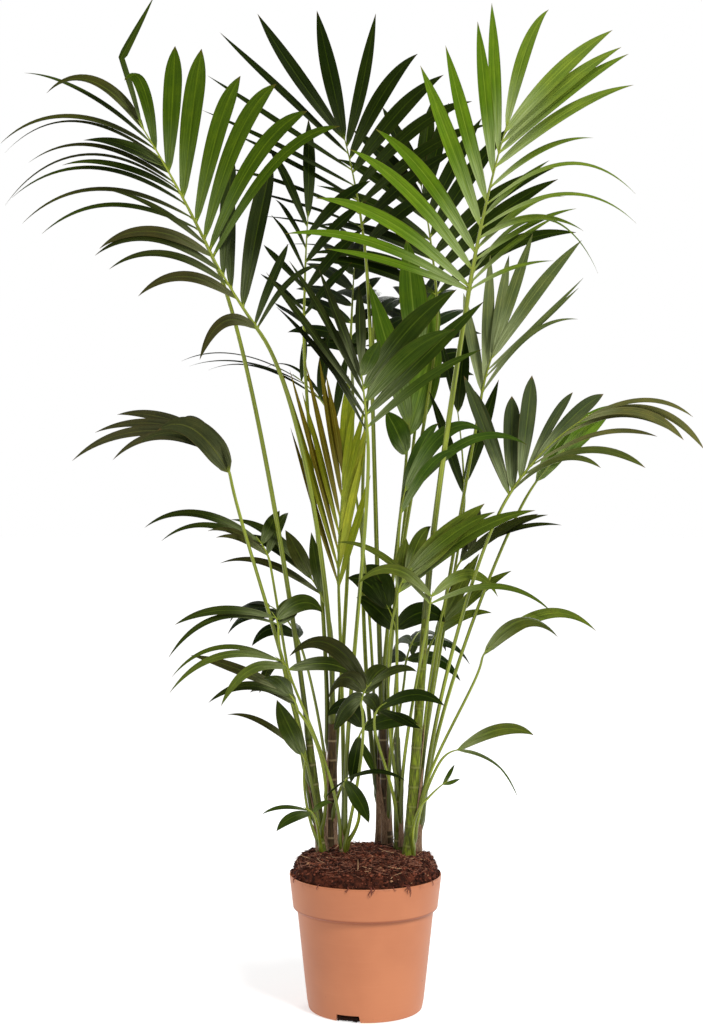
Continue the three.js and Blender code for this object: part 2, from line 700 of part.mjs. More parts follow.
    bow: 0.03, face: 92, width: 23, widest: 0.45, stalk: 5, tone: 'dark', own: false,
    left: {
      count: 5, length: [80, 110, 110], splay: [40, 28, 10], droop: [0.25, 0.15], roll: [20, 20],
      lift: -26, span: [0, 1],
    },
    right: {
      count: 6, length: [150, 190, 170], splay: [50, 34, 10], droop: [0.3, 0.2], roll: [20, 20],
      lift: -26, span: [0, 1],
    },
  },
  {
    name: 'rear_right', cane: 'g', start: 90, foot: [96, 262, 1010], tip: [108, 400, 1160],
    bow: 0.03, face: 88, width: 23, widest: 0.45, stalk: 5, tone: 'dark', own: false,
    left: {
      count: 6, length: [140, 180, 160], splay: [50, 34, 10], droop: [0.3, 0.2], roll: [20, 20],
      lift: -26, span: [0, 1],
    },
    right: {
      count: 6, length: [140, 180, 160], splay: [50, 34, 10], droop: [0.3, 0.2], roll: [20, 20],
      lift: -26, span: [0, 1],
    },
  },
  {
    name: 'rear_mid', cane: 'g', start: 100, foot: [16, 250, 1040], tip: [16, 390, 1175],
    bow: 0.1, face: 90, width: 23, widest: 0.45, stalk: 5, tone: 'dark', own: false,
    left: {
      count: 5, length: [120, 150, 130], splay: [40, 28, 10], droop: [0.3, 0.2], roll: [20, 20],
      lift: -26, span: [0, 1],
    },
    right: {
      count: 5, length: [170, 220, 190], splay: [50, 34, 10], droop: [0.3, 0.2], roll: [20, 20],
      lift: -26, span: [0, 1],
    },
  },
  {
    name: 'rear_low_left', cane: 'b', start: 50, foot: [-110, 190, 560], tip: [-165, 250, 620],
    bow: 0.1, face: 120, width: 26, widest: 0.45, stalk: 4, tone: 'dark', own: false,
    left: {
      count: 3, length: [80, 100, 90], splay: [36, 24, 8], droop: [1, 0.8], roll: [20, 20],
      lift: -20, span: [0, 1],
    },
    right: {
      count: 3, length: [100, 120, 110], splay: [36, 24, 8], droop: [1, 0.8], roll: [20, 20],
      lift: -20, span: [0, 1],
    },
  },
  {
    name: 'rear_low_right', cane: 'g', start: 50, foot: [70, 210, 520], tip: [95, 280, 570],
    bow: 0.1, face: 70, width: 26, widest: 0.45, stalk: 4, tone: 'dark', own: false,
    left: {
      count: 3, length: [120, 150, 130], splay: [56, 36, 10], droop: [1, 0.8], roll: [20, 20],
      lift: -20, span: [0, 1],
    },
    right: {
      count: 3, length: [120, 150, 130], splay: [56, 36, 10], droop: [1, 0.8], roll: [20, 20],
      lift: -20, span: [0, 1],
    },
  },
];

const TONES = {
  dark: 0x2f4a22,
  mid: 0x4b7a24,
  bright: 0x679c34,
  spear: 0x8f9130,
  silver: 0x5f8258,
  dusky: 0x5c5640,
};
const STALK_COLOR = 0x8aac3c;

// ---- small helpers -----------------------------------------------------------------------------
const UP = new THREE.Vector3(0, 0, 1);
const vec = (list) => new THREE.Vector3(list[0], list[1], list[2]);
const radians = (angle) => (angle * Math.PI) / 180;
const degrees = (angle) => (angle * 180) / Math.PI;
const mix = (a, b, t) => a + (b - a) * t;

// start, middle and end value along t
function along(values, t) {
  const [a, b, c] = values;
  return a * (1 - t) * (1 - 2 * t) + b * 4 * t * (1 - t) + c * t * (2 * t - 1);
}

// repeatable numbers between 0 and 1
function dice(seed) {
  let state = seed * 7919 + 17;
  return () => {
    state = (state * 16807) % 2147483647;
    return state / 2147483647;
  };
}

function flattened(direction, axis) {
  return direction.clone().addScaledVector(axis, -direction.dot(axis)).normalize();
}

// ---- solids ------------------------------------------------------------------------------------
function solidOf(geometry) {
  geometry.deleteAttribute('normal');
  geometry.deleteAttribute('uv');
  const merged = mergeVertices(geometry, 1e-4);
  const mesh = new wasm.Mesh({
    numProp: 3,
    vertProperties: Float32Array.from(merged.attributes.position.array),
    triVerts: Uint32Array.from(merged.index.array),
  });
  return new wasm.Manifold(mesh);
}

function cornersOf(mesh) {
  const stride = mesh.numProp;
  const points = new Float32Array((mesh.vertProperties.length / stride) * 3);
  for (let i = 0; i < points.length / 3; i += 1) {
    points[i * 3] = mesh.vertProperties[i * stride];
    points[i * 3 + 1] = mesh.vertProperties[i * stride + 1];
    points[i * 3 + 2] = mesh.vertProperties[i * stride + 2];
  }
  return points;
}

function geometryOf(solid) {
  const mesh = solid.getMesh();
  const geometry = new THREE.BufferGeometry();
  geometry.setAttribute('position', new THREE.BufferAttribute(cornersOf(mesh), 3));
  geometry.setIndex(new THREE.BufferAttribute(Uint32Array.from(mesh.triVerts), 1));
  return geometry.toNonIndexed();
}

// true when no two corners of a solid nearly meet
function wellSpread(solid) {
  const points = cornersOf(solid.getMesh());
  for (let i = 0; i < points.length; i += 3) {
    for (let j = 0; j < i; j += 3) {
      const across = Math.abs(points[i] - points[j]);
      const deep = Math.abs(points[i + 1] - points[j + 1]);
      const high = Math.abs(points[i + 2] - points[j + 2]);
      if (Math.max(across, deep, high) < CORNER_GAP) {
        return false;
      }
    }
  }
  return true;
}

function largest(solid) {
  let best = null;
  for (const piece of solid.decompose()) {
    if (!best || piece.volume() > best.volume()) {
      best = piece;
    }
  }
  return best;
}

// A bar through a row of sections {center, side, up, a, b}: a cylinder whose rings are moved there.
function sweep(sections, sides, pointed, shape) {
  const steps = sections.length - 1;
  const bar = new THREE.CylinderGeometry(pointed ? 0 : 1, 1, 1, sides, steps);
  const place = bar.attributes.position;
  for (let i = 0; i < place.count; i += 1) {
    const rise = place.getY(i) + 0.5;
    const section = sections[Math.round(rise * steps)];
    const size = pointed ? Math.max(1e-9, 1 - rise) : 1;
    const [a, b] = shape(place.getX(i) / size, place.getZ(i) / size);
    const spot = section.center.clone();
    if (section.a > 0) {
      spot.addScaledVector(section.side, a * section.a);
      spot.addScaledVector(section.up, b * section.b);
    }
    place.setXYZ(i, spot.x, spot.y, spot.z);
  }
  return solidOf(bar);
}

const roundShape = (x, z) => [x, z];
const leafShape = (x, z) => [x / Math.sin(radians(60)), (z - 0.25) / 0.75];

// frames carried along a path of points without twist
function tube(points, radii, sides) {
  const sections = [];
  let side = null;
  for (let i = 0; i < points.length; i += 1) {
    const before = points[Math.max(0, i - 1)];
    const after = points[Math.min(points.length - 1, i + 1)];
    const ahead = after.clone().sub(before).normalize();
    if (!side) {
      const helper = Math.abs(ahead.x) < 0.8 ? new THREE.Vector3(1, 0, 0) : new THREE.Vector3(0, 1, 0);
      side = flattened(helper, ahead);
    } else {
      side = flattened(side, ahead);
    }
    const up = side.clone().cross(ahead);
    sections.push({ center: points[i], side, up, a: radii[i], b: radii[i] });
  }
  return sweep(sections, sides, false, roundShape);
}

// ---- distances between pieces, each a set of thin rods ------------------------------------------
function rodGap(p, q, r, s) {
  const d1 = q.clone().sub(p);
  const d2 = s.clone().sub(r);
  const w = p.clone().sub(r);
  const a = d1.dot(d1);
  const e = d2.dot(d2);
  const f = d2.dot(w);
  const c = d1.dot(w);
  const b = d1.dot(d2);
  const bottom = a * e - b * b;
  let u = bottom > 1e-9 ? THREE.MathUtils.clamp((b * f - c * e) / bottom, 0, 1) : 0;
  let v = (b * u + f) / e;
  if (v < 0) {
    v = 0;
    u = THREE.MathUtils.clamp(-c / a, 0, 1);
  } else if (v > 1) {
    v = 1;
    u = THREE.MathUtils.clamp((b - c) / a, 0, 1);
  }
  return p.clone().addScaledVector(d1, u).distanceTo(r.clone().addScaledVector(d2, v));
}

function rodsOf(points, radii) {
  const rods = [];
  for (let i = 0; i + 1 < points.length; i += 1) {
    rods.push({ from: points[i], to: points[i + 1], radius: Math.max(radii[i], radii[i + 1]) });
  }
  return rods;
}

function bundle(owner, rods) {
  const box = new THREE.Box3();
  for (const rod of rods) {
    box.expandByPoint(rod.from);
    box.expandByPoint(rod.to);
  }
  return { owner, rods, box: box.expandByScalar(ROD_REACH) };
}

function touches(one, other, air) {
  if (!one.box.intersectsBox(other.box)) {
    return false;
  }
  for (const x of one.rods) {
    for (const y of other.rods) {
      if (rodGap(x.from, x.to, y.from, y.to) < x.radius + y.radius + air) {
        return true;
      }
    }
  }
  return false;
}

// ---- canes -------------------------------------------------------------------------------------
const soilHeight = (x, y) => along(SOIL_HEAP, Math.hypot(x, y) / SOIL_SHOULDER);

function canePath(cane) {
  const foot = new THREE.Vector3(cane.at[0], cane.at[1], soilHeight(cane.at[0], cane.at[1]));
  const axis = new THREE.Vector3(cane.lean[0], cane.lean[1], 100).normalize();
  return { foot, axis };
}

// root flare at the soil, then a straight taper
function caneRadius(cane, height) {
  const share = Math.min(1, Math.max(0, height / cane.height));
  const flare = CANE_FLARE * Math.max(0, 1 - height / CANE_FLARE_HEIGHT) ** 2;
  return cane.radius * (mix(1, CANE_TOP, share) + flare);
}

function caneHeights(cane) {
  const heights = [-CANE_SUNK, 0, CANE_FLARE_HEIGHT * 0.5, CANE_FLARE_HEIGHT];
  for (let i = 1; i <= CANE_STEPS - 2; i += 1) {
    heights.push(mix(CANE_FLARE_HEIGHT, cane.height, i / (CANE_STEPS - 2)));
  }
  return heights;
}

function caneSolid(cane, extra) {
  const { foot, axis } = canePath(cane);
  const heights = caneHeights(cane);
  const points = heights.map((height) => foot.clone().addScaledVector(axis, height));
  const radii = heights.map((height) => caneRadius(cane, Math.max(0, height)) + extra);
  if (extra > 0) {
    points[points.length - 1].addScaledVector(axis, extra);
  }
  return tube(points, radii, CANE_SIDES);
}

// ---- stalks and rachises -------------------------------------------------------------------------
function bezier(points, t) {
  let row = points;
  while (row.length > 1) {
    const next = [];
    for (let i = 0; i + 1 < row.length; i += 1) {
      next.push(row[i].clone().lerp(row[i + 1], t));
    }
    row = next;
  }
  return row[0];
}

function rachisOf(frond) {
  const foot = vec(frond.foot);
  const tip = vec(frond.tip);
  const chord = tip.clone().sub(foot);
  const across = chord.clone().cross(UP).normalize();
  const above = across.clone().cross(chord).normalize();
  const middle = foot.clone().lerp(tip, 0.5).addScaledVector(above, frond.bow * chord.length() * 2);
  const leaving = middle.clone().sub(foot).normalize();
  return { foot, middle, tip, leaving, length: chord.length() };
}

function stalkPoints(frond, rachis, turn, bend) {
  const cane = CANES[frond.cane];
  const { foot, axis } = canePath(cane);
  const onTop = frond.start === 'top';
  const height = onTop ? cane.height + TOP_CLEAR : frond.start;
  const root = foot.clone().addScaledVector(axis, height);
  const thick = (frond.stalk / 2) * STALK_SPREAD;
  const sunk = new THREE.Vector3();
  if (!onTop) {
    const heading = Math.atan2(rachis.foot.y - root.y, rachis.foot.x - root.x) + radians(turn);
    const outward = flattened(new THREE.Vector3(Math.cos(heading), Math.sin(heading), 0), axis);
    root.addScaledVector(outward, caneRadius(cane, height) + thick * STALK_OFF);
    sunk.addScaledVector(outward, frond.own ? 0 : -thick * STALK_SUNK);
  }
  const reach = rachis.foot.distanceTo(root);
  const straight = rachis.foot.clone().sub(root).normalize();
  const aside = straight.clone().cross(UP).normalize();
  const low = root.clone().addScaledVector(axis, reach * STALK_RISE).addScaledVector(aside, bend);
  const high = rachis.foot.clone().addScaledVector(rachis.leaving, -reach * STALK_EASE);
  high.addScaledVector(aside, bend);
  const points = [];
  for (let i = 0; i <= STALK_STEPS; i += 1) {
    points.push(bezier([root, low, high, rachis.foot], i / STALK_STEPS));
  }
  points[0].add(sunk);
  return points;
}

function stalkRadii(frond) {
  const radii = [];
  for (let i = 0; i <= STALK_STEPS; i += 1) {
    radii.push((frond.stalk / 2) * mix(STALK_SPREAD, 1, i / STALK_STEPS));
  }
  return radii;
}

// ---- leaflets --------------------------------------------------------------------------------------
function leafWidth(widest, u) {
  const swell = Math.sin((Math.PI / 2) * Math.min(1, u / widest));
  const power = widest > STRAP_FROM ? STRAP_TAPER : LANCE_TAPER;
  const taper = Math.max(0, (u - widest) / (1 - widest)) ** power;
  return (LEAF_BASE_SHARE + (1 - LEAF_BASE_SHARE) * swell) * (1 - taper);
}

function leaflet(frond, plan, turn, shorter) {
  const { base, ahead, left, face, sign } = plan;
  const splay = radians(plan.splay + turn[0]);
  const lift = radians(plan.lift + turn[1]);
  const outward = left.clone().multiplyScalar(sign * Math.cos(lift)).addScaledVector(face, Math.sin(lift));
  const start = ahead.clone().multiplyScalar(Math.cos(splay));
  start.addScaledVector(outward, Math.sin(splay)).normalize();
  let way = start.clone();
  const flat = Math.hypot(way.x, way.y);
  const roll = radians(plan.roll * sign);
  const level = flattened(face, way);
  const crossed = way.clone().cross(level);
  let normal = level.multiplyScalar(Math.cos(roll)).addScaledVector(crossed, Math.sin(roll));
  const length = plan.length * shorter;
  const rings = length > LONG_LEAF ? LONG_RINGS : SHORT_RINGS;
  const thick = Math.max(LEAF_MIN_THICK, length * LEAF_THICK_SHARE);
  const spot = base.clone();
  const sections = [];
  for (let k = 0; k <= LEAF_STEPS; k += 1) {
    if (k > 0) {
      const bend = plan.droop * (0.35 + flat) * ((k - 0.5) / LEAF_STEPS) ** 1.6 * 1.5;
      way = start.clone().addScaledVector(UP, -bend).normalize();
      if (plan.bent && k > LEAF_STEPS / 2) {
        way = plan.bent.clone();
      }
      spot.addScaledVector(way, length / LEAF_STEPS);
      normal = flattened(normal, way);
    }
    if (rings.includes(k)) {
      const u = k / LEAF_STEPS;
      const side = way.clone().cross(normal);
      let a = (leafWidth(plan.widest, u) * plan.width) / 2;
      let b = (thick / 2) * mix(1, 0.75, u);
      if (k === 0) {
        a = plan.stem * LEAF_ROOT[0];
        b = plan.stem * LEAF_ROOT[1];
      }
      sections.push({ center: spot.clone(), side, up: normal.clone(), a, b });
    }
  }
  return { sections, thick };
}

function leafRods(leaf, width, first) {
  const rods = [];
  const lines = Math.max(2, Math.ceil(width / LEAF_LINES));
  for (let line = 0; line <= lines; line += 1) {
    const across = mix(-1, 1, line / lines);
    const points = leaf.sections.slice(first).map((section) => (
      section.center.clone().addScaledVector(section.side, across * section.a)
    ));
    rods.push(...rodsOf(points, points.map(() => leaf.thick / 2)));
  }
  return rods;
}

// sets splay, lift and length so that the drooping leaflet ends at the goal
function aimAt(frond, plan, goal) {
  const aim = goal.clone();
  for (let pass = 0; pass < AIM_PASSES; pass += 1) {
    const way = aim.clone().sub(plan.base);
    plan.length = way.length();
    way.normalize();
    plan.splay = degrees(Math.acos(THREE.MathUtils.clamp(way.dot(plan.ahead), -1, 1)));
    plan.lift = degrees(Math.atan2(way.dot(plan.face), plan.sign * way.dot(plan.left)));
    const { sections } = leaflet(frond, plan, [0, 0], 1);
    const end = sections[sections.length - 1].center;
    aim.add(goal).sub(end);
  }
}

function aimRow(frond, row, plan, t, end) {
  const [, across, height, droop, , kinkAcross, kinkHeight] = end;
  plan.droop = droop;
  const deep = plan.base.y + mix(row.deep[0], row.deep[1], t);
  const tip = new THREE.Vector3(across, deep, height);
  if (kinkHeight) {
    const middle = new THREE.Vector3(kinkAcross, (plan.base.y + deep) / 2, kinkHeight);
    aimAt(frond, plan, middle);
    plan.length *= 2;
    plan.bent = tip.sub(middle).normalize();
  } else {
    aimAt(frond, plan, tip);
  }
}

// where a leaflet leaves the rachis, and the blade's plane there
function leafPlace(frond, rachis, toLeft, sign, share) {
  const t = Math.min(1 - LAST_LEAF / rachis.length, Math.max(share, FIRST_LEAF / rachis.length));
  const stem = mix(frond.stalk / 2, RACHIS_END, t);
  const base = bezier([rachis.foot, rachis.middle, rachis.tip], t);
  const leaving = rachis.middle.clone().sub(rachis.foot);
  const arriving = rachis.tip.clone().sub(rachis.middle);
  const ahead = leaving.lerp(arriving, t).normalize();
  const left = flattened(toLeft, ahead);
  base.addScaledVector(left, sign * stem * LEAF_ASIDE);
  return { base, ahead, left, sign, stem, t, face: left.clone().cross(ahead) };
}

function leafPlans(frond, rachis, roll) {
  const angle = radians(frond.face);
  const out = new THREE.Vector3(Math.cos(angle), Math.sin(angle), 0);
  const toLeft = new THREE.Vector3(out.y, -out.x, 0);
  const plans = [];
  for (const [sign, row] of [[1, frond.left], [-1, frond.right]]) {
    const count = row.tips ? row.tips.length : row.count;
    for (let i = 0; i < count; i += 1) {
      const share = i / Math.max(1, count - 1);
      const chance = [roll(), roll(), roll(), roll()];
      if (row.tips) {
        const end = row.tips[i];
        const plan = leafPlace(frond, rachis, toLeft, sign, end[0]);
        plan.widest = row.widest || frond.widest;
        plan.width = frond.width * end[4] * (0.96 + 0.08 * chance[3]);
        plan.roll = mix(row.roll[0], row.roll[1], plan.t) * (0.9 + 0.2 * chance[0]);
        aimRow(frond, row, plan, plan.t, end);
        plans.push(plan);
      } else {
        const length = row.span[1] - row.span[0];
        let t = mix(row.span[0], row.span[1], share);
        if (sign < 0 && count > 1) {
          t = Math.min(1, t + (0.35 / count) * length * (1 - share));
        }
        const plan = leafPlace(frond, rachis, toLeft, sign, t);
        plan.widest = frond.widest;
        plan.splay = along(row.splay, share) + (chance[0] - 0.5) * 6;
        plan.lift = row.lift + (chance[1] - 0.5) * 12;
        plan.length = along(row.length, share) * (0.95 + 0.1 * chance[2]);
        plan.width = frond.width * (0.88 + 0.24 * chance[3]);
        plan.droop = mix(row.droop[0], row.droop[1], share) * (0.85 + 0.3 * chance[1]);
        plan.roll = mix(row.roll[0], row.roll[1], share) * (0.9 + 0.2 * chance[0]);
        plans.push(plan);
      }
    }
  }
  return plans;
}

// ---- growing the palm: limbs first, then the leaflets of each frond -----------------------------------
const limbs = [];
for (const [name, cane] of Object.entries(CANES)) {
  const { foot, axis } = canePath(cane);
  const heights = caneHeights(cane).filter((height) => height >= 0);
  const points = heights.map((height) => foot.clone().addScaledVector(axis, height));
  const radii = heights.map((height) => caneRadius(cane, height));
  limbs.push(bundle(`cane_${name}`, rodsOf(points, radii)));
}

const palm = [];
for (const frond of FRONDS) {
  const rachis = rachisOf(frond);
  const points = [];
  const radii = [];
  for (let i = 0; i <= RACHIS_STEPS; i += 1) {
    const t = i / RACHIS_STEPS;
    points.push(bezier([rachis.foot, rachis.middle, rachis.tip], t));
    radii.push(mix(frond.stalk / 2, RACHIS_END, t));
  }
  limbs.push(bundle(frond.name, rodsOf(points, radii)));
  palm.push({ frond, rachis, points, radii });
}

const onTopFirst = [...palm].sort((a, b) => (b.frond.start === 'top') - (a.frond.start === 'top'));
for (const plant of onTopFirst) {
  const { frond, rachis } = plant;
  const radii = stalkRadii(frond);
  plant.stalkRadii = radii;
  plant.stalk = null;
  for (const turn of frond.start === 'top' ? [0] : STALK_TURNS) {
    for (const bend of STALK_BENDS) {
      const points = stalkPoints(frond, rachis, turn, bend);
      const rods = rodsOf(points, radii);
      const trial = bundle(frond.name, rods);
      const beyondRoot = bundle(frond.name, rods.slice(1));
      const blocked = limbs.some((limb) => {
        if (limb.owner === frond.name) {
          return false;
        }
        if (limb.owner === `cane_${frond.cane}`) {
          return touches(beyondRoot, limb, 0);
        }
        return touches(trial, limb, LIMB_AIR);
      });
      if (!blocked && !plant.stalk) {
        plant.stalk = points;
      }
    }
  }
  if (!plant.stalk) {
    throw new Error(`no way clear for the stalk of ${frond.name}`);
  }
  limbs.push(bundle(frond.name, rodsOf(plant.stalk, radii)));
}

const grown = [];
palm.forEach((plant, index) => {
  const { frond, rachis } = plant;
  const own = bundle('own', rodsOf(plant.stalk, plant.stalkRadii).slice(0, STALK_STEPS - 1));
  plant.leaves = [];
  const others = limbs.filter((limb) => limb.owner !== frond.name).concat(own);
  const settled = grown.filter((leaf) => leaf.owner !== frond.name);
  const sisters = [];
  for (const plan of leafPlans(frond, rachis, dice(index + 1))) {
    let kept = null;
    let spare = null;
    for (const shorter of LEAF_SHORTER) {
      for (const turn of LEAF_TURNS) {
        if (!kept) {
          const leaf = leaflet(frond, plan, turn, shorter);
          const trial = bundle(frond.name, leafRods(leaf, plan.width, 0));
          const outer = bundle(frond.name, leafRods(leaf, plan.width, 1));
          const free = !others.concat(settled).some((other) => touches(trial, other, LEAF_AIR));
          const apart = free && !sisters.some((sister) => touches(outer, sister, 0));
          if (apart) {
            kept = { leaf, trial, outer };
          } else if (free && !spare) {
            spare = { leaf, trial, outer };
          }
        }
      }
    }
    kept = kept || spare;
    if (kept) {
      plant.leaves.push(kept.leaf);
      grown.push(kept.trial);
      sisters.push(kept.outer);
    }
  }
});

// ---- pot and compost ---------------------------------------------------------------------------------
function lathe(profile) {
  const points = profile.map(([r, z]) => new THREE.Vector2(r, z));
  const round = new THREE.LatheGeometry(points, ROUND_SEGMENTS);
  round.rotateX(Math.PI / 2);
  return solidOf(round);
}

const innerNeck = NECK_RADIUS - WALL;
const innerBand = BAND_RADIUS - WALL;
const innerRim = RIM_RADIUS - WALL;
const innerFoot = FOOT_RADIUS + 2;

function potSolid() {
  const profile = [
    [0, 0],
    [FOOT_RADIUS - 1.5, 0],
    [FOOT_RADIUS + 2.5, FLOOR],
    [NECK_RADIUS, BAND_FOOT - 5],
    [BAND_RADIUS - 1.5, BAND_FOOT],
    [BAND_RADIUS, BAND_FOOT + 2],
    [RIM_RADIUS - 0.8, POT_HEIGHT - 5],
    [RIM_RADIUS, POT_HEIGHT - 2.5],
    [RIM_RADIUS - 0.8, POT_HEIGHT],
    [innerRim, POT_HEIGHT],
    [innerBand, BAND_FOOT + 3],
    [innerNeck, BAND_FOOT - 3],
    [innerFoot - WALL, FLOOR],
    [0, FLOOR],
  ];
  let pot = lathe(profile);
  for (let i = 0; i < NOTCH_COUNT; i += 1) {
    const notch = new THREE.BoxGeometry(NOTCH_DEPTH * 2, NOTCH_WIDTH, NOTCH_HEIGHT * 2);
    notch.translate(FOOT_RADIUS + 2, 0, 0);
    notch.rotateZ(radians(FIRST_NOTCH + (360 / NOTCH_COUNT) * i));
    pot = pot.subtract(solidOf(notch));
  }
  return pot;
}

function soilSolid(raised) {
  const gap = CLEAR;
  const profile = [
    [0, FLOOR + gap],
    [innerFoot - WALL - gap, FLOOR + gap],
    [innerNeck - gap, BAND_FOOT - 3],
    [innerBand - gap, BAND_FOOT + 3],
    [innerRim - 1.2 - gap, SOIL_EDGE + raised],
    ...SOIL_FLANK.toReversed().map(([radius, height]) => [radius, height + raised]),
    [SOIL_SHOULDER, SOIL_HEAP[2] + raised],
    [SOIL_SHOULDER / 2, SOIL_HEAP[1] + raised],
    [0, SOIL_CROWN + raised],
  ];
  return lathe(profile);
}

// ---- the pieces ----------------------------------------------------------------------------------------
const kentia = new THREE.Group();

function addPiece(name, solid, color, roughness) {
  const material = new THREE.MeshStandardMaterial({ color, roughness, metalness: 0 });
  const mesh = new THREE.Mesh(geometryOf(solid), material);
  mesh.name = name;
  kentia.add(mesh);
}

addPiece('pot', potSolid(), 0xc98562, 0.55);
addPiece('soil', soilSolid(0), 0x4a2c1f, 0.95);

const soilTop = soilSolid(CLEAR);
for (const [name, cane] of Object.entries(CANES)) {
  addPiece(`cane_${name}`, largest(caneSolid(cane, 0).subtract(soilTop)), cane.color, 0.7);
}

// a stalk cut off where it meets its cane
function offCane(limb, cane) {
  let cut = limb;
  for (const size of CUT_SIZES) {
    cut = largest(limb.subtract(caneSolid(cane, CLEAR * size)));
    if (wellSpread(cut)) {
      return cut;
    }
  }
  return cut;
}

// a blade with one more leaflet, or without it where none of the root sizes joins cleanly
function withLeaf(blade, leaf) {
  for (const size of ROOT_SIZES) {
    const [root, ...rest] = leaf.sections;
    const sections = [{ ...root, a: root.a * size, b: root.b * size }, ...rest];
    const joined = blade.add(sweep(sections, 3, true, leafShape));
    if (wellSpread(joined)) {
      return joined;
    }
  }
  return blade;
}

for (const plant of palm) {
  const { frond, rachis } = plant;
  const limb = frond.own
    ? tube(plant.stalk, plant.stalkRadii, STALK_SIDES)
    : tube(
      plant.stalk.concat(plant.points.slice(1)),
      plant.stalkRadii.concat(plant.radii.slice(1)),
      RACHIS_SIDES,
    );
  const onTop = frond.start === 'top';
  const stalk = onTop ? limb : offCane(limb, CANES[frond.cane]);
  let blade = stalk;
  if (frond.own) {
    const points = plant.points.map((point) => point.clone());
    points[0].addScaledVector(rachis.leaving, CLEAR);
    blade = tube(points, plant.radii, RACHIS_SIDES);
    addPiece(`stalk_${frond.name}`, stalk, STALK_COLOR, 0.45);
  }
  for (const leaf of plant.leaves) {
    blade = withLeaf(blade, leaf);
  }
  addPiece(`frond_${frond.name}`, largest(blade), TONES[frond.tone], 0.5);
}

export default kentia;
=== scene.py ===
"""The looks of a kentia palm in its nursery pot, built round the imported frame.

The palm is grown again by the rule of the CAD source, with the same named sizes, so that each
leaflet lies where its plain solid does, and is then drawn as a thin, folded and pleated blade.
Sizes of the plant are in millimetres, and the meshes are made in metres.
"""

import math
import random

import bpy
import numpy as np
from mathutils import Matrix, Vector, noise


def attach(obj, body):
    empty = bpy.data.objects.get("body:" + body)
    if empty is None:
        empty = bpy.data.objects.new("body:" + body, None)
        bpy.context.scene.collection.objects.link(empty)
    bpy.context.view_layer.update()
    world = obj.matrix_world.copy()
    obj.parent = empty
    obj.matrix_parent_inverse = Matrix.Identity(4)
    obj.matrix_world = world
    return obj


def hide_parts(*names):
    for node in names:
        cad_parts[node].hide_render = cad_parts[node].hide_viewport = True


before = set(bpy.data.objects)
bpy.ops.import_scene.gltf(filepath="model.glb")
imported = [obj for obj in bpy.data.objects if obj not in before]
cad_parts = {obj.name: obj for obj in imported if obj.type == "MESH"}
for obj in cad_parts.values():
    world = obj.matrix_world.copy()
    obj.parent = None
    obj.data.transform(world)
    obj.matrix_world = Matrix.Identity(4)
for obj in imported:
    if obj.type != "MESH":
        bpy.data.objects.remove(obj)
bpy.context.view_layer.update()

MM = 0.001
UP = np.array((0.0, 0.0, 1.0))

# ---- sizes shared with the CAD source, in mm ---------------------------------------------
CLEAR = 0.3  # air between neighbouring pieces
TOP_CLEAR = 0.8  # air under a stalk that stands on the end of a cane

POT_HEIGHT = 211
RIM_RADIUS = 120
BAND_RADIUS = 114.5  # lower edge of the collar band
BAND_FOOT = 159  # height of that edge
NECK_RADIUS = 107.5  # body just under the band
FOOT_RADIUS = 90
WALL = 2.2
FLOOR = 14
NOTCH_WIDTH = 39
NOTCH_HEIGHT = 11
NOTCH_DEPTH = 15
NOTCH_COUNT = 3
FIRST_NOTCH = -108  # degrees round from +X, just left of the front
SOIL_HEAP = (250, 246, 238)  # height on the axis, half way out and at the shoulder
SOIL_SHOULDER = 95
SOIL_FLANK = [(104, 233), (111, 226)]  # radius and height of the slope outside the shoulder
SOIL_EDGE = 208  # where it meets the pot's wall

CANE_STEPS = 5
CANE_FLARE_HEIGHT = 26  # of the swelling at the soil
CANE_FLARE = 0.2  # its extra radius per cane radius
CANE_TOP = 0.6  # radius at the top per radius at the foot
STALK_STEPS = 8
RACHIS_STEPS = 3
LEAF_STEPS = 12  # steps along a leaflet's midrib
LONG_RINGS = [0, 3, 6, 10, 12]  # the steps that carry a section
SHORT_RINGS = [0, 4, 8, 12]
LONG_LEAF = 240
LEAF_MIN_THICK = 2.4
LEAF_THICK_SHARE = 0.0112  # thickness per length
LEAF_ROOT = 0.35  # half width of the root, per rachis radius
LEAF_BASE_SHARE = 0.3  # width at the rachis per greatest width
STALK_SPREAD = 1.45  # stalk radius at its cane per radius at the blade
STALK_OFF = 0.75  # stalk's middle off the cane's skin, per stalk radius
STALK_SUNK = 0.4  # how much closer the foot of a three-sided one is
STALK_RISE = 0.3  # how far it keeps to the cane's line, per its own reach
STALK_EASE = 0.17  # how far ahead it turns into the rachis
RACHIS_END = 1.3  # radius of the rachis at its tip
FIRST_LEAF = 10  # no leaflet nearer to the end of the stalk
LAST_LEAF = 2  # nor nearer to the rachis's tip
AIM_PASSES = 10
STRAP_FROM = 0.55  # leaflets widest beyond this are straps with a blunt end
STRAP_TAPER = 3.2
LANCE_TAPER = 2.1
LEAF_ASIDE = 0.15  # a leaf root is this far off the rachis's middle, per its radius
DROOP_UPRIGHT = 0.35  # droop of a leaflet that starts straight up, beside a level one's 1.35
DROOP_POWER = 1.6
DROOP_GAIN = 1.5
STAGGER = 0.35  # a right row is shifted by this share of the room between its leaflets
SPLAY_CHANCE = 6  # degrees
LIFT_CHANCE = 12

ROD_REACH = 6  # how far round a piece its neighbours are looked for
LIMB_AIR = 1.2
LEAF_AIR = 0.5
LEAF_LINES = 7  # between the rods that stand for a leaflet
STALK_TURNS = [0, 40, -40, 80, -80, 120, -120, 160]  # ways round the cane to try
STALK_BENDS = [0, 9, -9, 18, -18, 28, -28]  # sideways swings to try
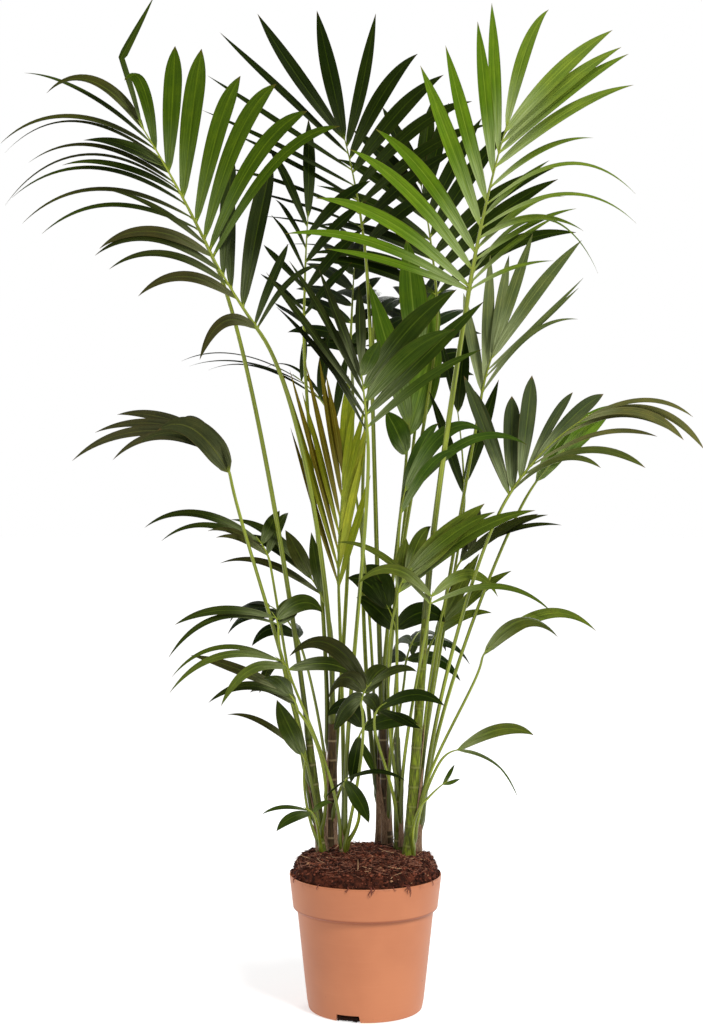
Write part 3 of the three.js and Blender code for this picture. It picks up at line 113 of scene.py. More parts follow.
# further splay and lift of a leaflet, in degrees, and shorter lengths to try
LEAF_TURNS = [
    (0, 0), (0, 10), (0, -10), (6, 0), (-6, 0), (0, 20), (0, -20), (11, 0), (-11, 0),
    (8, 14), (-8, 14), (8, -14), (-8, -14), (0, 30), (0, -30),
]
LEAF_SHORTER = [1, 0.82, 0.66]
DICE_START, DICE_SHIFT, DICE_STEP, DICE_SIDES = 7919, 17, 16807, 2147483647


def cane(at, lean, height, radius, look):
    """Foot on the soil, lean per 100 mm, height over the soil, radius."""
    return {"at": at, "lean": lean, "height": height, "radius": radius, "look": look}


CANES = {
    "a": cane((-68, 8), (-12, -2), 200, 9, "olive"),
    "b": cane((-55, 50), (1, 3), 220, 10, "brown"),
    "c": cane((-34, -14), (0, -4), 70, 6, "green"),
    "d": cane((36, 52), (-4, 1), 230, 9, "brown"),
    "e": cane((54, 14), (-2, -3), 180, 8, "olive"),
    "f": cane((68, -18), (7, -2), 395, 9.5, "green"),
    "g": cane((26, 90), (0, 5), 170, 9, "brown"),
    "h": cane((81, 26), (7, 0), 90, 8, "green"),
}


def row(count, length, splay, droop, roll, lift, span=(0, 1)):
    """Leaflets set out evenly: length and splay at the foot, middle and tip of the rachis,
    droop and roll at its foot and tip, lift off the blade's plane, span along the rachis."""
    return {
        "count": count, "length": length, "splay": splay, "droop": droop, "roll": roll,
        "lift": lift, "span": span,
    }


def tips(deep, roll, ends, widest=None):
    """Leaflets set out one by one: place along the rachis, across and height of the tip, droop,
    width, and where a leaflet is kinked the place of the kink. deep is how far the tips stand
    behind their roots."""
    return {"deep": deep, "roll": roll, "tips": ends, "widest": widest}


FRONDS = []


def frond(name, stem, start, foot, tip, tone, left, right, **more):
    """stem and start say where the stalk leaves; foot and tip are the ends of the rachis, which
    bows upward. The blade looks towards the heading face. width and widest shape its leaflets,
    stalk is the stalk's thickness, and own says that it is a solid of its own."""
    usual = {"bow": 0.03, "face": -90, "width": 28, "widest": 0.45, "stalk": 4, "own": False}
    FRONDS.append({
        **usual, **more, "name": name, "cane": stem, "start": start, "foot": foot, "tip": tip,
        "tone": tone, "left": left, "right": right,
    })


frond(
    "left_high", "a", "top", (-229, -105, 1160), (-330, -200, 1348), "mid",
    tips((20, 30), (82, 84), [(1, -320, 1541, 0, 0.5, -362, 1450), (0.96, -474, 1404, 0.95, 0.9),
        (0.86, -526, 1415, 0.36, 0.5), (0.82, -546, 1332, 0.7, 0.5),
        (0.76, -540, 1318, 0.78, 0.35), (0.7, -423, 1340, 0.3, 1.05), (0.65, -380, 1338, 0.2, 1),
        (0.58, -508, 1310, 0.62, 0.5), (0.54, -550, 1268, 0.94, 0.35),
        (0.5, -449, 1316, 0.4, 0.65), (0.42, -536, 1258, 0.7, 0.5), (0.32, -522, 1220, 0.7, 0.5),
        (0.24, -494, 1206, 0.62, 0.45)], 0.38),
    tips((-130, -60), (10, 5), [(0.82, -345, 1397, 1.5, 0.8), (0.66, -273, 1449, 0.1, 1),
        (0.47, -236, 1446, 0.4, 1.08), (0.29, -179, 1406, 0.6, 1), (0.17, -131, 1398, 0.7, 0.95),
        (0.09, -87, 1363, 0.6, 0.85), (0.03, -38, 1336, 0.6, 0.6)]),
    bow=0.02, face=-100, width=27, widest=0.62, stalk=6, own=True,
)
frond(
    "left_mid", "b", "top", (-159, -120, 1051), (-240, -150, 1184), "dark",
    tips((-70, -60), (45, 45), [(0.97, -374, 1253, 0.31, 0.35), (0.85, -390, 1166, 0.7, 0.65),
        (0.7, -397, 1157, 0.7, 0.5), (0.55, -375, 1135, 0.7, 0.5), (0.4, -333, 1097, 0.78, 0.6),
        (0.05, -247, 1008, 1.5, 0.7)], 0.38),
    tips((110, 120), (12, 12), [(0.8, -262, 1332, 0.05, 0.9), (0.65, -224, 1357, 0.05, 0.95),
        (0.5, -188, 1357, 0.05, 1), (0.3, -151, 1334, 0.05, 1.2), (0.1, -126, 1204, 0.05, 0.6),
        (0.03, -77, 1171, 0.47, 0.4)]),
    bow=-0.02, face=-100, width=27, widest=0.58, stalk=6, own=True,
)
frond(
    "back_left", "b", 170, (-100, 90, 1080), (-94, 120, 1272), "dark",
    tips((80, 60), (50, 20), [(0.98, -91, 1445, 0, 0.9), (0.9, -166, 1403, 0.23, 0.75),
        (0.7, -150, 1308, 0.39, 0.4), (0.5, -154, 1284, 0.23, 0.4), (0.34, -171, 1231, 0.05, 0.7),
        (0.16, -175, 1184, 0.05, 0.7), (0.02, -153, 1134, 0.05, 0.55)]),
    tips((-60, -50), (40, 20), [(0.8, 8, 1320, 0.23, 1), (0.58, 3, 1281, 0.23, 1),
        (0.32, -5, 1239, 0.2, 0.9), (0.12, -20, 1180, 0.2, 0.7)]),
    width=24, widest=0.55, stalk=5, own=True,
)
frond(
    "back_mid", "d", "top", (4, 140, 1180), (-34, 110, 1400), "dark",
    tips((60, 60), (70, 20), [(0.98, -184, 1621, -0.15, 0.85), (0.88, -246, 1591, 0, 0.5),
        (0.76, -266, 1520, 0, 0.4), (0.64, -277, 1462, 0.05, 0.4), (0.54, -238, 1423, 0.05, 0.4),
        (0.44, -243, 1366, 0.1, 0.35), (0.34, -217, 1329, 0.1, 0.35),
        (0.24, -175, 1288, 0.1, 0.35), (0.14, -134, 1238, 0.1, 0.35)]),
    tips((-150, -120), (20, 10), [(0.99, -79, 1572, 0.05, 0.95), (0.93, 11, 1569, -0.7, 0.75),
        (0.84, 86, 1501, 0.45, 0.9), (0.74, 123, 1473, 0.31, 0.9), (0.62, 168, 1432, 0.39, 0.8),
        (0.5, 192, 1398, 0.31, 0.7), (0.36, 144, 1348, 0.23, 0.8), (0.2, 115, 1290, 0.23, 0.8)]),
    width=29, widest=0.5, stalk=6, own=True,
)
frond(
    "right_high", "f", "top", (151, -160, 1102), (200, -250, 1335), "bright",
    tips((-120, -50), (10, 5), [(0, -59, 1148, 0.15, 0.45), (0.02, -116, 1182, 0.31, 0.6),
        (0.06, -73, 1221, 0.39, 0.8), (0.16, -25, 1295, 0.35, 0.8), (0.26, 11, 1321, 0.39, 0.85),
        (0.41, 75, 1412, 0.1, 0.95), (0.56, 111, 1440, -0.25, 0.9), (0.72, 160, 1473, -0.6, 0.8),
        (0.84, 170, 1497, -0.3, 0.75)]),
    tips((90, 60), (60, 25), [(1, 265, 1520, 0.8, 0.75), (0.96, 360, 1494, 0.2, 0.9),
        (0.9, 376, 1468, 0.2, 0.8), (0.84, 390, 1460, 0.2, 0.7), (0.76, 395, 1422, 0.27, 0.75),
        (0.64, 340, 1341, 0.39, 0.45), (0.54, 408, 1263, 0.78, 0.3), (0.47, 279, 1311, 0.2, 0.45),
        (0.4, 410, 1222, 0.7, 0.35), (0.34, 330, 1208, 0.51, 0.55), (0.28, 329, 1251, 0.39, 0.5),
        (0.21, 321, 1246, 0.2, 0.45), (0.14, 377, 1132, 1.3, 0.4), (0.08, 320, 1225, 0.2, 0.45),
        (0.03, 288, 1169, 0.23, 0.45)]),
    face=-85, width=25, widest=0.5, stalk=7, own=True,
)
frond(
    "back_right", "d", 170, (125, 220, 1145), (100, 280, 1355), "dark",
    row(7, (260, 270, 200), (56, 42, 14), (0.3, 0.1), (20, 20), 24),
    row(7, (270, 230, 170), (60, 44, 16), (0.4, 0.1), (20, 20), -24),
    width=31, stalk=5, own=True,
)
frond(
    "back_broad", "g", "top", (70, 170, 870), (95, 220, 1060), "bright",
    tips((-60, -40), (10, 10), [(0.9, 71, 1243, 0.05, 1), (0.3, 11, 1164, 0.05, 0.9),
        (0.04, 35, 948, 0.1, 0.8)]),
    row(2, (200, 210, 180), (12, 10, 4), (0.1, 0.1), (10, 10), 0, (0.1, 0.7)),
    face=-80, width=52, stalk=5,
)
frond(
    "front_mid", "c", 50, (2, -200, 885), (-8, -230, 985), "dark",
    tips((80, 60), (60, 20), [(0.98, -14, 1117, 0, 0.65), (0.85, -74, 1143, 0, 0.6),
        (0.7, -117, 1156, 0.2, 0.5), (0.52, -152, 1140, 0.05, 0.5), (0.32, -134, 1090, 0.25, 0.5),
        (0.12, -94, 1070, 0.05, 0.45)]),
    tips((-110, -80), (20, 10), [(0.94, 16, 1023, 0, 0.8), (0.74, 125, 1092, 0.35, 1.15),
        (0.56, 123, 1037, 0.39, 0.95), (0.38, 162, 1066, 0.1, 0.85), (0.2, 159, 1010, 0.23, 0.5)]),
    face=-80, widest=0.5, stalk=5, own=True,
)
frond(
    "right_back", "h", "top", (190, 90, 968), (212, 100, 1045), "silver",
    tips((80, 80), (10, 10), [(0, 165, 1151, 0, 1), (0.35, 212, 1216, 0, 0.95),
        (0.8, 234, 1223, 0, 0.85)]),
    tips((-70, -70), (50, 10), [(0.1, 338, 1085, 0.65, 0.45), (0.45, 348, 1157, 0, 0.35),
        (0.6, 331, 1148, 0, 0.35), (0.85, 346, 1217, 0.25, 0.9), (0.98, 282, 1223, 0.05, 0.8)]),
    face=-75, width=24, widest=0.5, stalk=5, own=True,
)
frond(
    "right_low", "h", 60, (213, -100, 800), (330, -150, 925), "dark",
    tips((80, 60), (10, 20), [(0, 157, 996, 0, 0.75), (0.05, 167, 975, 0, 0.9),
        (0.1, 212, 973, 0, 1.1), (0.22, 261, 996, 0.05, 0.95), (0.32, 324, 968, 0.27, 0.6),
        (0.42, 371, 963, 0.27, 0.9)]),
    tips((-90, -60), (60, 50), [(0.08, 344, 846, 0.7, 0.45), (0.25, 409, 847, 0.62, 0.5),
        (0.35, 426, 893, 0.45, 0.35), (0.65, 446, 897, 0.65, 0.38), (0.8, 476, 920, 0.65, 0.38),
        (0.9, 464, 883, 0.75, 0.55), (0.98, 490, 870, 0.85, 0.55)]),
    bow=0.06, face=-100, width=25, widest=0.58, stalk=5, own=True,
)
frond(
    "right_edge", "h", 50, (254, 20, 801), (330, 30, 890), "bright",
    tips((50, 50), (20, 20), [(0.6, 407, 960, 0.2, 1.25), (0.3, 359, 935, 0.2, 1.05)]),
    tips((-40, -40), (40, 40), [(0.85, 403, 949, 0.2, 0.4), (0.25, 335, 920, 0.2, 0.4)]),
    bow=0.05, face=-100, width=30, stalk=5,
)
frond(
    "left_arch", "a", 120, (-207, -80, 832), (-262, -98, 910), "dusky",
    tips((-90, 60), (50, 50), [(1, -387, 935, 0.23, 0.5), (0.86, -415, 916, 0.35, 0.45),
        (0.66, -448, 868, 0.58, 0.5), (0.42, -386, 863, 0.74, 0.5), (0.22, -342, 882, 0.78, 0.5),
        (0.1, -310, 903, 0.86, 1.2)], 0.3),
    tips((50, 50), (30, 30), [(0.08, -291, 921, 0.86, 1.5)]),
    bow=0.12, face=-110, width=34, stalk=5,
)
frond(
    "left_low", "a", 60, (-150, -30, 705), (-166, -40, 738), "dark",
    tips((-60, 50), (40, 40), [(0.9, -351, 760, 0.62, 0.75), (0.6, -320, 735, 0.7, 0.6),
        (0.35, -244, 751, 0.55, 0.6), (0.1, -234, 744, 0.47, 0.6)], 0.36),
    tips((60, 60), (10, 10), [(0.8, -136, 783, 0.23, 1.1), (0.3, -94, 788, 0.39, 1)]),
    bow=0.05, width=19,
)
frond(
    "left_shade", "b", 80, (-68, 60, 640), (-100, 70, 690), "dark",
    tips((60, 50), (30, 30), [(0.95, -223, 768, 0.47, 0.9), (0.6, -208, 744, 0.39, 0.9),
        (0.15, -240, 696, 0.47, 0.6)]),
    tips((-50, -50), (20, 20), [(0.7, -128, 753, 0.1, 1), (0.1, -85, 749, 0, 0.75)]),
    bow=0.05, width=26,
)
frond(
    "spear", "c", "top", (-42, 30, 640), (-32, 40, 850), "spear",
    tips((30, 0), (30, 30), [(0.12, -122, 918, 0, 0.8), (0.24, -136, 1004, 0, 0.9),
        (0.36, -116, 1012, 0, 0.85), (0.5, -100, 975, 0, 0.85), (0.62, -95, 1024, 0, 0.95),
        (0.78, -77, 1030, 0, 1), (0.92, -62, 1004, 0, 0.9)]),
    tips((0, 0), (40, 15), [(0.98, -40, 1002, 0, 1.6), (0.84, -18, 968, 0, 1),
        (0.68, -4, 950, 0, 1.1), (0.52, 3, 926, 0, 1.2), (0.37, 5, 898, 0, 1.2),
        (0.23, -3, 872, 0, 1.2), (0.1, -12, 846, 0, 1.1)]),
    width=13, stalk=5,
)
frond(
    "back_low_left", "g", 80, (-45, 150, 925), (-115, 175, 1010), "dark",
    tips((80, 60), (50, 50), [(0.95, -316, 1041, 0.47, 0.5), (0.8, -295, 1057, 0.39, 0.4),
        (0.5, -267, 1027, 0.47, 0.4), (0.2, -174, 1027, 0.86, 0.6)]),
    tips((-60, -60), (30, 20), [(0.9, -96, 1085, 0.1, 0.6), (0.5, -59, 1078, 0.1, 0.9),
        (0.1, -28, 1052, 0.1, 0.8)]),
    bow=0.06, width=22,
)
frond(
    "back_dark", "h", 30, (165, 120, 800), (155, 140, 950), "dark",
    row(2, (180, 200, 150), (20, 11, 3), (0.1, 0.1), (20, 20), 25),
    row(2, (180, 200, 150), (20, 11, 3), (0.2, 0.1), (20, 20), -25),
    face=-70, width=24,
)
frond(
    "curl", "e", 140, (54, -30, 770), (61, -45, 815), "dark",
    tips((50, 50), (10, 10), [(0.5, 117, 924, 0.8, 1)]),
    tips((-80, -70), (20, 20), [(0.95, 181, 905, 1, 0.9), (0.6, 245, 885, 0.8, 0.6),
        (0.15, 145, 877, 0.7, 0.6)]),
    face=-80, width=26,
)
frond(
    "mid_right", "e", 100, (48, -60, 640), (66, -72, 690), "mid",
    tips((50, 40), (10, 10), [(0.9, 114, 747, 0.7, 0.9), (0.4, 64, 741, 0, 1)]),
    tips((-70, -60), (30, 20), [(0.95, 192, 786, 0.25, 0.7), (0.6, 178, 790, 0.15, 1.3),
        (0.3, 255, 780, 0.39, 0.9)]),
    bow=0.1, width=27,
)
frond(
    "mid_right_b", "h", 40, (146, 20, 694), (170, 26, 722), "dark",
    tips((60, 60), (40, 40), [(0.8, 189, 786, 0.23, 0.8), (0.2, 178, 768, 0.23, 0.6)]),
    tips((-50, -50), (40, 40), [(0.85, 306, 758, 0.39, 0.45), (0.55, 286, 778, 0.27, 0.6),
        (0.25, 279, 768, 0.27, 0.9)]),
    bow=0.05, width=24,
)
frond(
    "mid_arch", "e", 60, (97, -85, 632), (101, -92, 655), "dark",
    tips((-80, -60), (20, 20), [(0.9, -12, 672, 0.94, 0.65), (0.3, -42, 725, 0.55, 0.45)]),
    tips((50, 60), (20, 20), [(0.9, 218, 637, 1.01, 0.75), (0.3, 292, 621, 0.7, 0.4)]),
    width=25,
)
frond(
    "mid_fan", "f", 200, (105, 60, 565), (128, 70, 602), "mid",
    tips((60, 60), (20, 20), [(0.9, 154, 700, 0.1, 1), (0.4, 176, 715, 0.1, 0.9)]),
    tips((-50, -50), (20, 20), [(0.9, 233, 690, 0.2, 0.8), (0.4, 201, 619, 0.47, 0.6)]),
    width=26,
)
frond(
    "left_broad", "a", 50, (-135, -60, 598), (-141, -66, 622), "dark",
    tips((-60, -50), (40, 40), [(0.85, -288, 609, 0.43, 0.5), (0.4, -300, 563, 0.86, 0.36)], 0.5),
    tips((50, 50), (20, 20), [(0.7, -67, 625, 0.86, 1), (0.2, -114, 642, 0.31, 1.2)]),
    bow=0.1, face=-80, width=27,
)
frond(
    "low_left", "a", 40, (-104, -90, 478), (-126, -100, 514), "dark",
    tips((60, 50), (40, 40), [(0.85, -273, 556, 0.15, 0.6), (0.5, -244, 483, 0.62, 0.5),
        (0.1, -180, 500, 0.7, 1)]),
    tips((-60, -50), (20, 20), [(0.6, -156, 533, 0.7, 1.2)]),
    bow=0.1, face=-100,
)
frond(
    "low_left_b", "c", 20, (-116, -75, 530), (-132, -85, 556), "mid",
    tips((-60, -60), (40, 40), [(0.9, -295, 512, 0.78, 0.5), (0.7, -292, 532, 0.78, 0.3),
        (0.4, -215, 490, 1.17, 0.65)]),
    tips((50, 50), (20, 20), [(0.8, -170, 492, 1.25, 0.65), (0.2, -8, 515, 0.62, 0.9)]),
    bow=0.1, face=-100, width=25,
)
frond(
    "low_left_c", "a", 22, (-94, -28, 392), (-104, -32, 412), "dark",
    tips((50, 50), (30, 30), [(0.8, -220, 461, 0.4, 0.42)]),
    tips((-30, -30), (10, 10), [(0.3, -139, 491, 0, 1.25)]),
    bow=0.02, width=26, stalk=3.5,
)
frond(
    "foot_left", "a", 10, (-78, -50, 306), (-90, -58, 322), "mid",
    tips((40, 40), (30, 10), [(0.8, -163, 307, 0.39, 0.5), (0.3, -141, 279, 0.55, 1)]),
    tips((-30, -30), (10, 10), [(0.5, -50, 335, 0.62, 0.6)]),
    bow=0.1, width=16,
)
frond(
    "right_bifid", "f", 60, (180, -50, 551), (190, -58, 570), "mid",
    tips((-60, -60), (15, 15), [(0.6, 291, 592, 1.1, 1)]),
    tips((60, 60), (30, 30), [(0.4, 368, 596, 0.8, 0.6)]),
    bow=0.1, width=32,
)
frond(
    "right_small", "f", 30, (118, -70, 402), (143, -80, 417), "mid",
    tips((60, 60), (-35, -35), [(0.9, 263, 429, 0.55, 1.1)]),
    tips((-60, -60), (10, 10), [(0.9, 228, 355, 1, 1)]),
    bow=0.1, width=22,
)
frond(
    "foot_right", "f", 15, (95, -60, 338), (122, -66, 364), "mid",
    tips((0, 0), (0, 0), [(0.9, 138, 392, 0, 0.7)]),
    tips((0, 0), (0, 0), [(0.9, 146, 369, 0, 0.7)]),
    width=10,
)
frond(
    "center_low", "c", 15, (-8, -118, 492), (4, -134, 522), "dark",
    tips((-60, -50), (20, -5), [(0.9, -113, 569, 1.1, 1.1), (0.55, -55, 507, 1.4, 1.2),
        (0.2, -49, 458, 0.9, 1.3)]),
    tips((50, 40), (10, 10), [(0.9, 78, 539, 0.6, 0.6), (0.5, 33, 543, 0.5, 1.1),
        (0.15, 27, 464, 0.9, 0.8)]),
    bow=0.1,
)
frond(
    "center_dark", "b", 60, (-14, -50, 420), (0, -62, 455), "dark",
    tips((0, 0), (10, 10), [(0.8, -58, 488, 1.3, 1.1), (0.4, -20, 362, 0.3, 0.7)]),
    tips((0, 0), (10, 10), [(0.7, 81, 454, 0.5, 0.9), (0.2, 12, 370, 0.6, 0.4)]),
    bow=0.05, face=-80, width=32,
)
frond(
    "center_back", "d", 60, (50, 20, 585), (36, 12, 630), "dark",
    row(2, (80, 90, 90), (30, 20, 6), (0.4, 0.6), (10, 10), 0),
    row(2, (90, 100, 90), (60, 40, 10), (1, 1), (10, 10), 0),
    bow=0.05, face=-80, width=36,
)
frond(
    "low_center", "c", 18, (-34, -100, 366), (-30, -112, 378), "dark",
    tips((0, 0), (-20, -20), [(0.9, 60, 374, 0.6, 0.5), (0.2, -62, 345, 0.62, 0.5)]),
    tips((-10, -10), (35, 35), [(0.6, 6, 312, 0.7, 1.1)]),
    bow=0.1, width=22,
)
frond(
    "low_right", "e", 50, (14, -80, 470), (26, -92, 488), "dark",
    tips((0, 0), (20, 20), [(0.5, 84, 449, 0.23, 1)]),
    tips((0, 0), (20, 20), [(0.5, 122, 487, 0.7, 0.9)]),
    bow=0.1, width=23,
)
frond(
    "rear_left", "b", 90, (-24, 262, 1070), (-16, 400, 1240), "dark",
    row(5, (80, 110, 110), (40, 28, 10), (0.25, 0.15), (20, 20), -26),
    row(6, (150, 190, 170), (50, 34, 10), (0.3, 0.2), (20, 20), -26),
    face=92, width=23, stalk=5,
)
frond(
    "rear_right", "g", 90, (96, 262, 1010), (108, 400, 1160), "dark",
    row(6, (140, 180, 160), (50, 34, 10), (0.3, 0.2), (20, 20), -26),
    row(6, (140, 180, 160), (50, 34, 10), (0.3, 0.2), (20, 20), -26),
    face=88, width=23, stalk=5,
)
frond(
    "rear_mid", "g", 100, (16, 250, 1040), (16, 390, 1175), "dark",
    row(5, (120, 150, 130), (40, 28, 10), (0.3, 0.2), (20, 20), -26),
    row(5, (170, 220, 190), (50, 34, 10), (0.3, 0.2), (20, 20), -26),
    bow=0.1, face=90, width=23, stalk=5,
)
frond(
    "rear_low_left", "b", 50, (-110, 190, 560), (-165, 250, 620), "dark",
    row(3, (80, 100, 90), (36, 24, 8), (1, 0.8), (20, 20), -20),
    row(3, (100, 120, 110), (36, 24, 8), (1, 0.8), (20, 20), -20),
    bow=0.1, face=120, width=26,
)
frond(
    "rear_low_right", "g", 50, (70, 210, 520), (95, 280, 570), "dark",
    row(3, (120, 150, 130), (56, 36, 10), (1, 0.8), (20, 20), -20),
    row(3, (120, 150, 130), (56, 36, 10), (1, 0.8), (20, 20), -20),
    bow=0.1, face=70, width=26,
)


# ---- small helpers -----------------------------------------------------------------------
def vec(values):
    return np.array(values, float)


def unit(v):
    return v / math.sqrt(v @ v)


def cross(a, b):
    return np.array((
        a[1] * b[2] - a[2] * b[1],
        a[2] * b[0] - a[0] * b[2],
        a[0] * b[1] - a[1] * b[0],
    ))


def mix(a, b, t):
    return a + (b - a) * t


def along(values, t):
    """A curve through three values."""
    a, b, c = values
    return a * (1 - t) * (1 - 2 * t) + b * 4 * t * (1 - t) + c * t * (2 * t - 1)


def about(chance, spread):
    """A factor round one, by a chance from 0 to 1."""
    return 1 - spread / 2 + spread * chance


def flattened(direction, axis):
    return unit(direction - axis * (direction @ axis))


def level_way(angle):
    return vec((math.cos(angle), math.sin(angle), 0))


def dice(seed):
    """The CAD source's own random numbers, from 0 to 1."""
    state = seed * DICE_START + DICE_SHIFT
    while True:
        state = (state * DICE_STEP) % DICE_SIDES
        yield state / DICE_SIDES


def bezier(points, t):
    points = list(points)
    while len(points) > 1:
        points = [a + (b - a) * t for a, b in zip(points, points[1:])]
    return points[0]


# ---- the conflict rule: pieces as bundles of thin rods -----------------------------------
def rod_gaps(p, q, r, s):
    """The distances between the middles of rods p to q and rods r to s."""
    d1, d2, w = q - p, s - r, p - r
    a = (d1 * d1).sum(-1)
    e = (d2 * d2).sum(-1)
    f = (d2 * w).sum(-1)
    c = (d1 * w).sum(-1)
    b = (d1 * d2).sum(-1)
    bottom = a * e - b * b
    with np.errstate(divide="ignore", invalid="ignore"):
        u = np.where(bottom > 1e-9, np.clip((b * f - c * e) / bottom, 0, 1), 0.0)
        v = (b * u + f) / e
        u = np.where(v < 0, np.clip(-c / a, 0, 1), u)
        u = np.where(v > 1, np.clip((b - c) / a, 0, 1), u)
    v = np.clip(v, 0, 1)
    apart = p + d1 * u[..., None] - r - d2 * v[..., None]
    return np.sqrt((apart * apart).sum(-1))


class Bundle:
    def __init__(self, owner, starts, ends, radii):
        self.owner, self.starts, self.ends, self.radii = owner, starts, ends, radii
        both = np.concatenate((starts, ends))
        self.low = both.min(0) - ROD_REACH
        self.high = both.max(0) + ROD_REACH


def line_bundle(owner, points, radii):
    points, radii = np.array(points), np.array(radii, float)
    return Bundle(owner, points[:-1], points[1:], np.maximum(radii[:-1], radii[1:]))


class Field:
    """Bundles that a new piece is kept clear of."""

    def __init__(self, bundles):
        self.bundles = list(bundles)
        self.low = np.array([b.low for b in self.bundles]).reshape(-1, 3)
        self.high = np.array([b.high for b in self.bundles]).reshape(-1, 3)

    def touched(self, one, air):
        near = ((self.low <= one.high) & (self.high >= one.low)).all(1)
        chosen = [self.bundles[i] for i in np.nonzero(near)[0]]
        if not chosen:
            return False
        starts = np.concatenate([b.starts for b in chosen])
        ends = np.concatenate([b.ends for b in chosen])
        radii = np.concatenate([b.radii for b in chosen])
        gaps = rod_gaps(one.starts[:, None], one.ends[:, None], starts[None], ends[None])
        return bool((gaps < one.radii[:, None] + radii[None] + air).any())


# ---- canes, stalks and rachises ----------------------------------------------------------
def cane_path(stem):
    x, y = stem["at"]
    height = along(SOIL_HEAP, math.hypot(x, y) / SOIL_SHOULDER)
    return vec((x, y, height)), unit(vec((*stem["lean"], 100)))


def cane_radius(stem, height):
    share = min(1, max(0, height / stem["height"]))
    flare = CANE_FLARE * max(0, 1 - height / CANE_FLARE_HEIGHT) ** 2
    return stem["radius"] * (mix(1, CANE_TOP, share) + flare)


def rachis_of(leaf):
    """Its three controls, its length and the way it leaves the stalk."""
    foot, tip = vec(leaf["foot"]), vec(leaf["tip"])
    chord = tip - foot
    length = math.sqrt(chord @ chord)
    above = unit(cross(unit(cross(chord, UP)), chord))
    middle = foot + chord * 0.5 + above * leaf["bow"] * length * 2
    return (foot, middle, tip), length, unit(middle - foot)


def rachis_radius(leaf, t):
    return mix(leaf["stalk"] / 2, RACHIS_END, t)


def stalk_controls(plant, turn, bend):
    leaf = plant["leaf"]
    controls, _, leaving = plant["rachis"]
    end = controls[0]
    stem = CANES[leaf["cane"]]
    foot, axis = cane_path(stem)
    on_top = leaf["start"] == "top"
    height = stem["height"] + TOP_CLEAR if on_top else leaf["start"]
    root = foot + axis * height
    sunk = vec((0, 0, 0))
    if not on_top:
        toward = end - root
        heading = math.atan2(toward[1], toward[0]) + math.radians(turn)
        outward = flattened(level_way(heading), axis)
        thick = leaf["stalk"] / 2 * STALK_SPREAD
        root = root + outward * (cane_radius(stem, height) + thick * STALK_OFF)
        if not leaf["own"]:
            sunk = outward * (-thick * STALK_SUNK)
    straight = end - root
    reach = math.sqrt(straight @ straight)
    aside = unit(cross(straight, UP))
    low = root + axis * reach * STALK_RISE + aside * bend
    high = end - leaving * reach * STALK_EASE + aside * bend
    return [root, low, high, end], sunk


def stalk_radii(leaf, steps):
    return [leaf["stalk"] / 2 * mix(STALK_SPREAD, 1, i / steps) for i in range(steps + 1)]


# ---- leaflets ----------------------------------------------------------------------------
def leaf_width(widest, u):
    swell = math.sin(math.pi / 2 * min(1, u / widest))
    power = STRAP_TAPER if widest > STRAP_FROM else LANCE_TAPER
    taper = max(0, (u - widest) / (1 - widest)) ** power
    return (LEAF_BASE_SHARE + (1 - LEAF_BASE_SHARE) * swell) * (1 - taper)


def leaf_curve(plan, turn, shorter, steps):
    """Points, sideways and upward directions along a leaflet's midrib."""
    splay = math.radians(plan["splay"] + turn[0])
    lift = math.radians(plan["lift"] + turn[1])
    outward = plan["left"] * (plan["sign"] * math.cos(lift)) + plan["face"] * math.sin(lift)
    start = unit(plan["ahead"] * math.cos(splay) + outward * math.sin(splay))
    flat = math.hypot(start[0], start[1])
    roll = math.radians(plan["roll"] * plan["sign"])
    level = flattened(plan["face"], start)
    normal = level * math.cos(roll) + cross(start, level) * math.sin(roll)
    spot, way = plan["base"], start
    points, sides, normals = [spot], [cross(way, normal)], [normal]
    for k in range(1, steps + 1):
        share = ((k - 0.5) / steps) ** DROOP_POWER
        bend = plan["droop"] * (DROOP_UPRIGHT + flat) * share * DROOP_GAIN
        way = unit(start - UP * bend)
        if plan["bent"] is not None and k > steps / 2:
            way = plan["bent"]
        spot = spot + way * (plan["length"] * shorter / steps)
        normal = flattened(normal, way)
        points.append(spot)
        sides.append(cross(way, normal))
        normals.append(normal)
    return np.array(points), np.array(sides), np.array(normals)


def leaf_bundles(leaf, plan, turn, shorter):
    """The whole leaflet as rods, and its part beyond the first section."""
    points, sides, _ = leaf_curve(plan, turn, shorter, LEAF_STEPS)
    length = plan["length"] * shorter
    rings = LONG_RINGS if length > LONG_LEAF else SHORT_RINGS
    halves = [leaf_width(plan["widest"], k / LEAF_STEPS) * plan["width"] / 2 for k in rings]
    halves[0] = plan["stem"] * LEAF_ROOT
    lines = max(2, math.ceil(plan["width"] / LEAF_LINES))
    across = np.array([mix(-1, 1, line / lines) for line in range(lines + 1)])
    thick = max(LEAF_MIN_THICK, length * LEAF_THICK_SHARE)
    spots = points[rings] + across[:, None, None] * sides[rings] * np.array(halves)[:, None]

    def beyond(first):
        starts = spots[:, first:-1].reshape(-1, 3)
        ends = spots[:, first + 1:].reshape(-1, 3)
        return Bundle(leaf["name"], starts, ends, np.full(len(starts), thick / 2))

    return beyond(0), beyond(1)


def aim_at(plan, goal):
    """Sets splay, lift and length so that the drooping leaflet ends at the goal."""
    aim = goal
    for _ in range(AIM_PASSES):
        chord = aim - plan["base"]
        plan["length"] = float(np.linalg.norm(chord))
        way = unit(chord)
        plan["splay"] = math.degrees(math.acos(max(-1, min(1, float(way @ plan["ahead"])))))
        aside = plan["sign"] * float(way @ plan["left"])
        plan["lift"] = math.degrees(math.atan2(float(way @ plan["face"]), aside))
        end = leaf_curve(plan, (0, 0), 1, LEAF_STEPS)[0][-1]
        aim = aim + goal - end


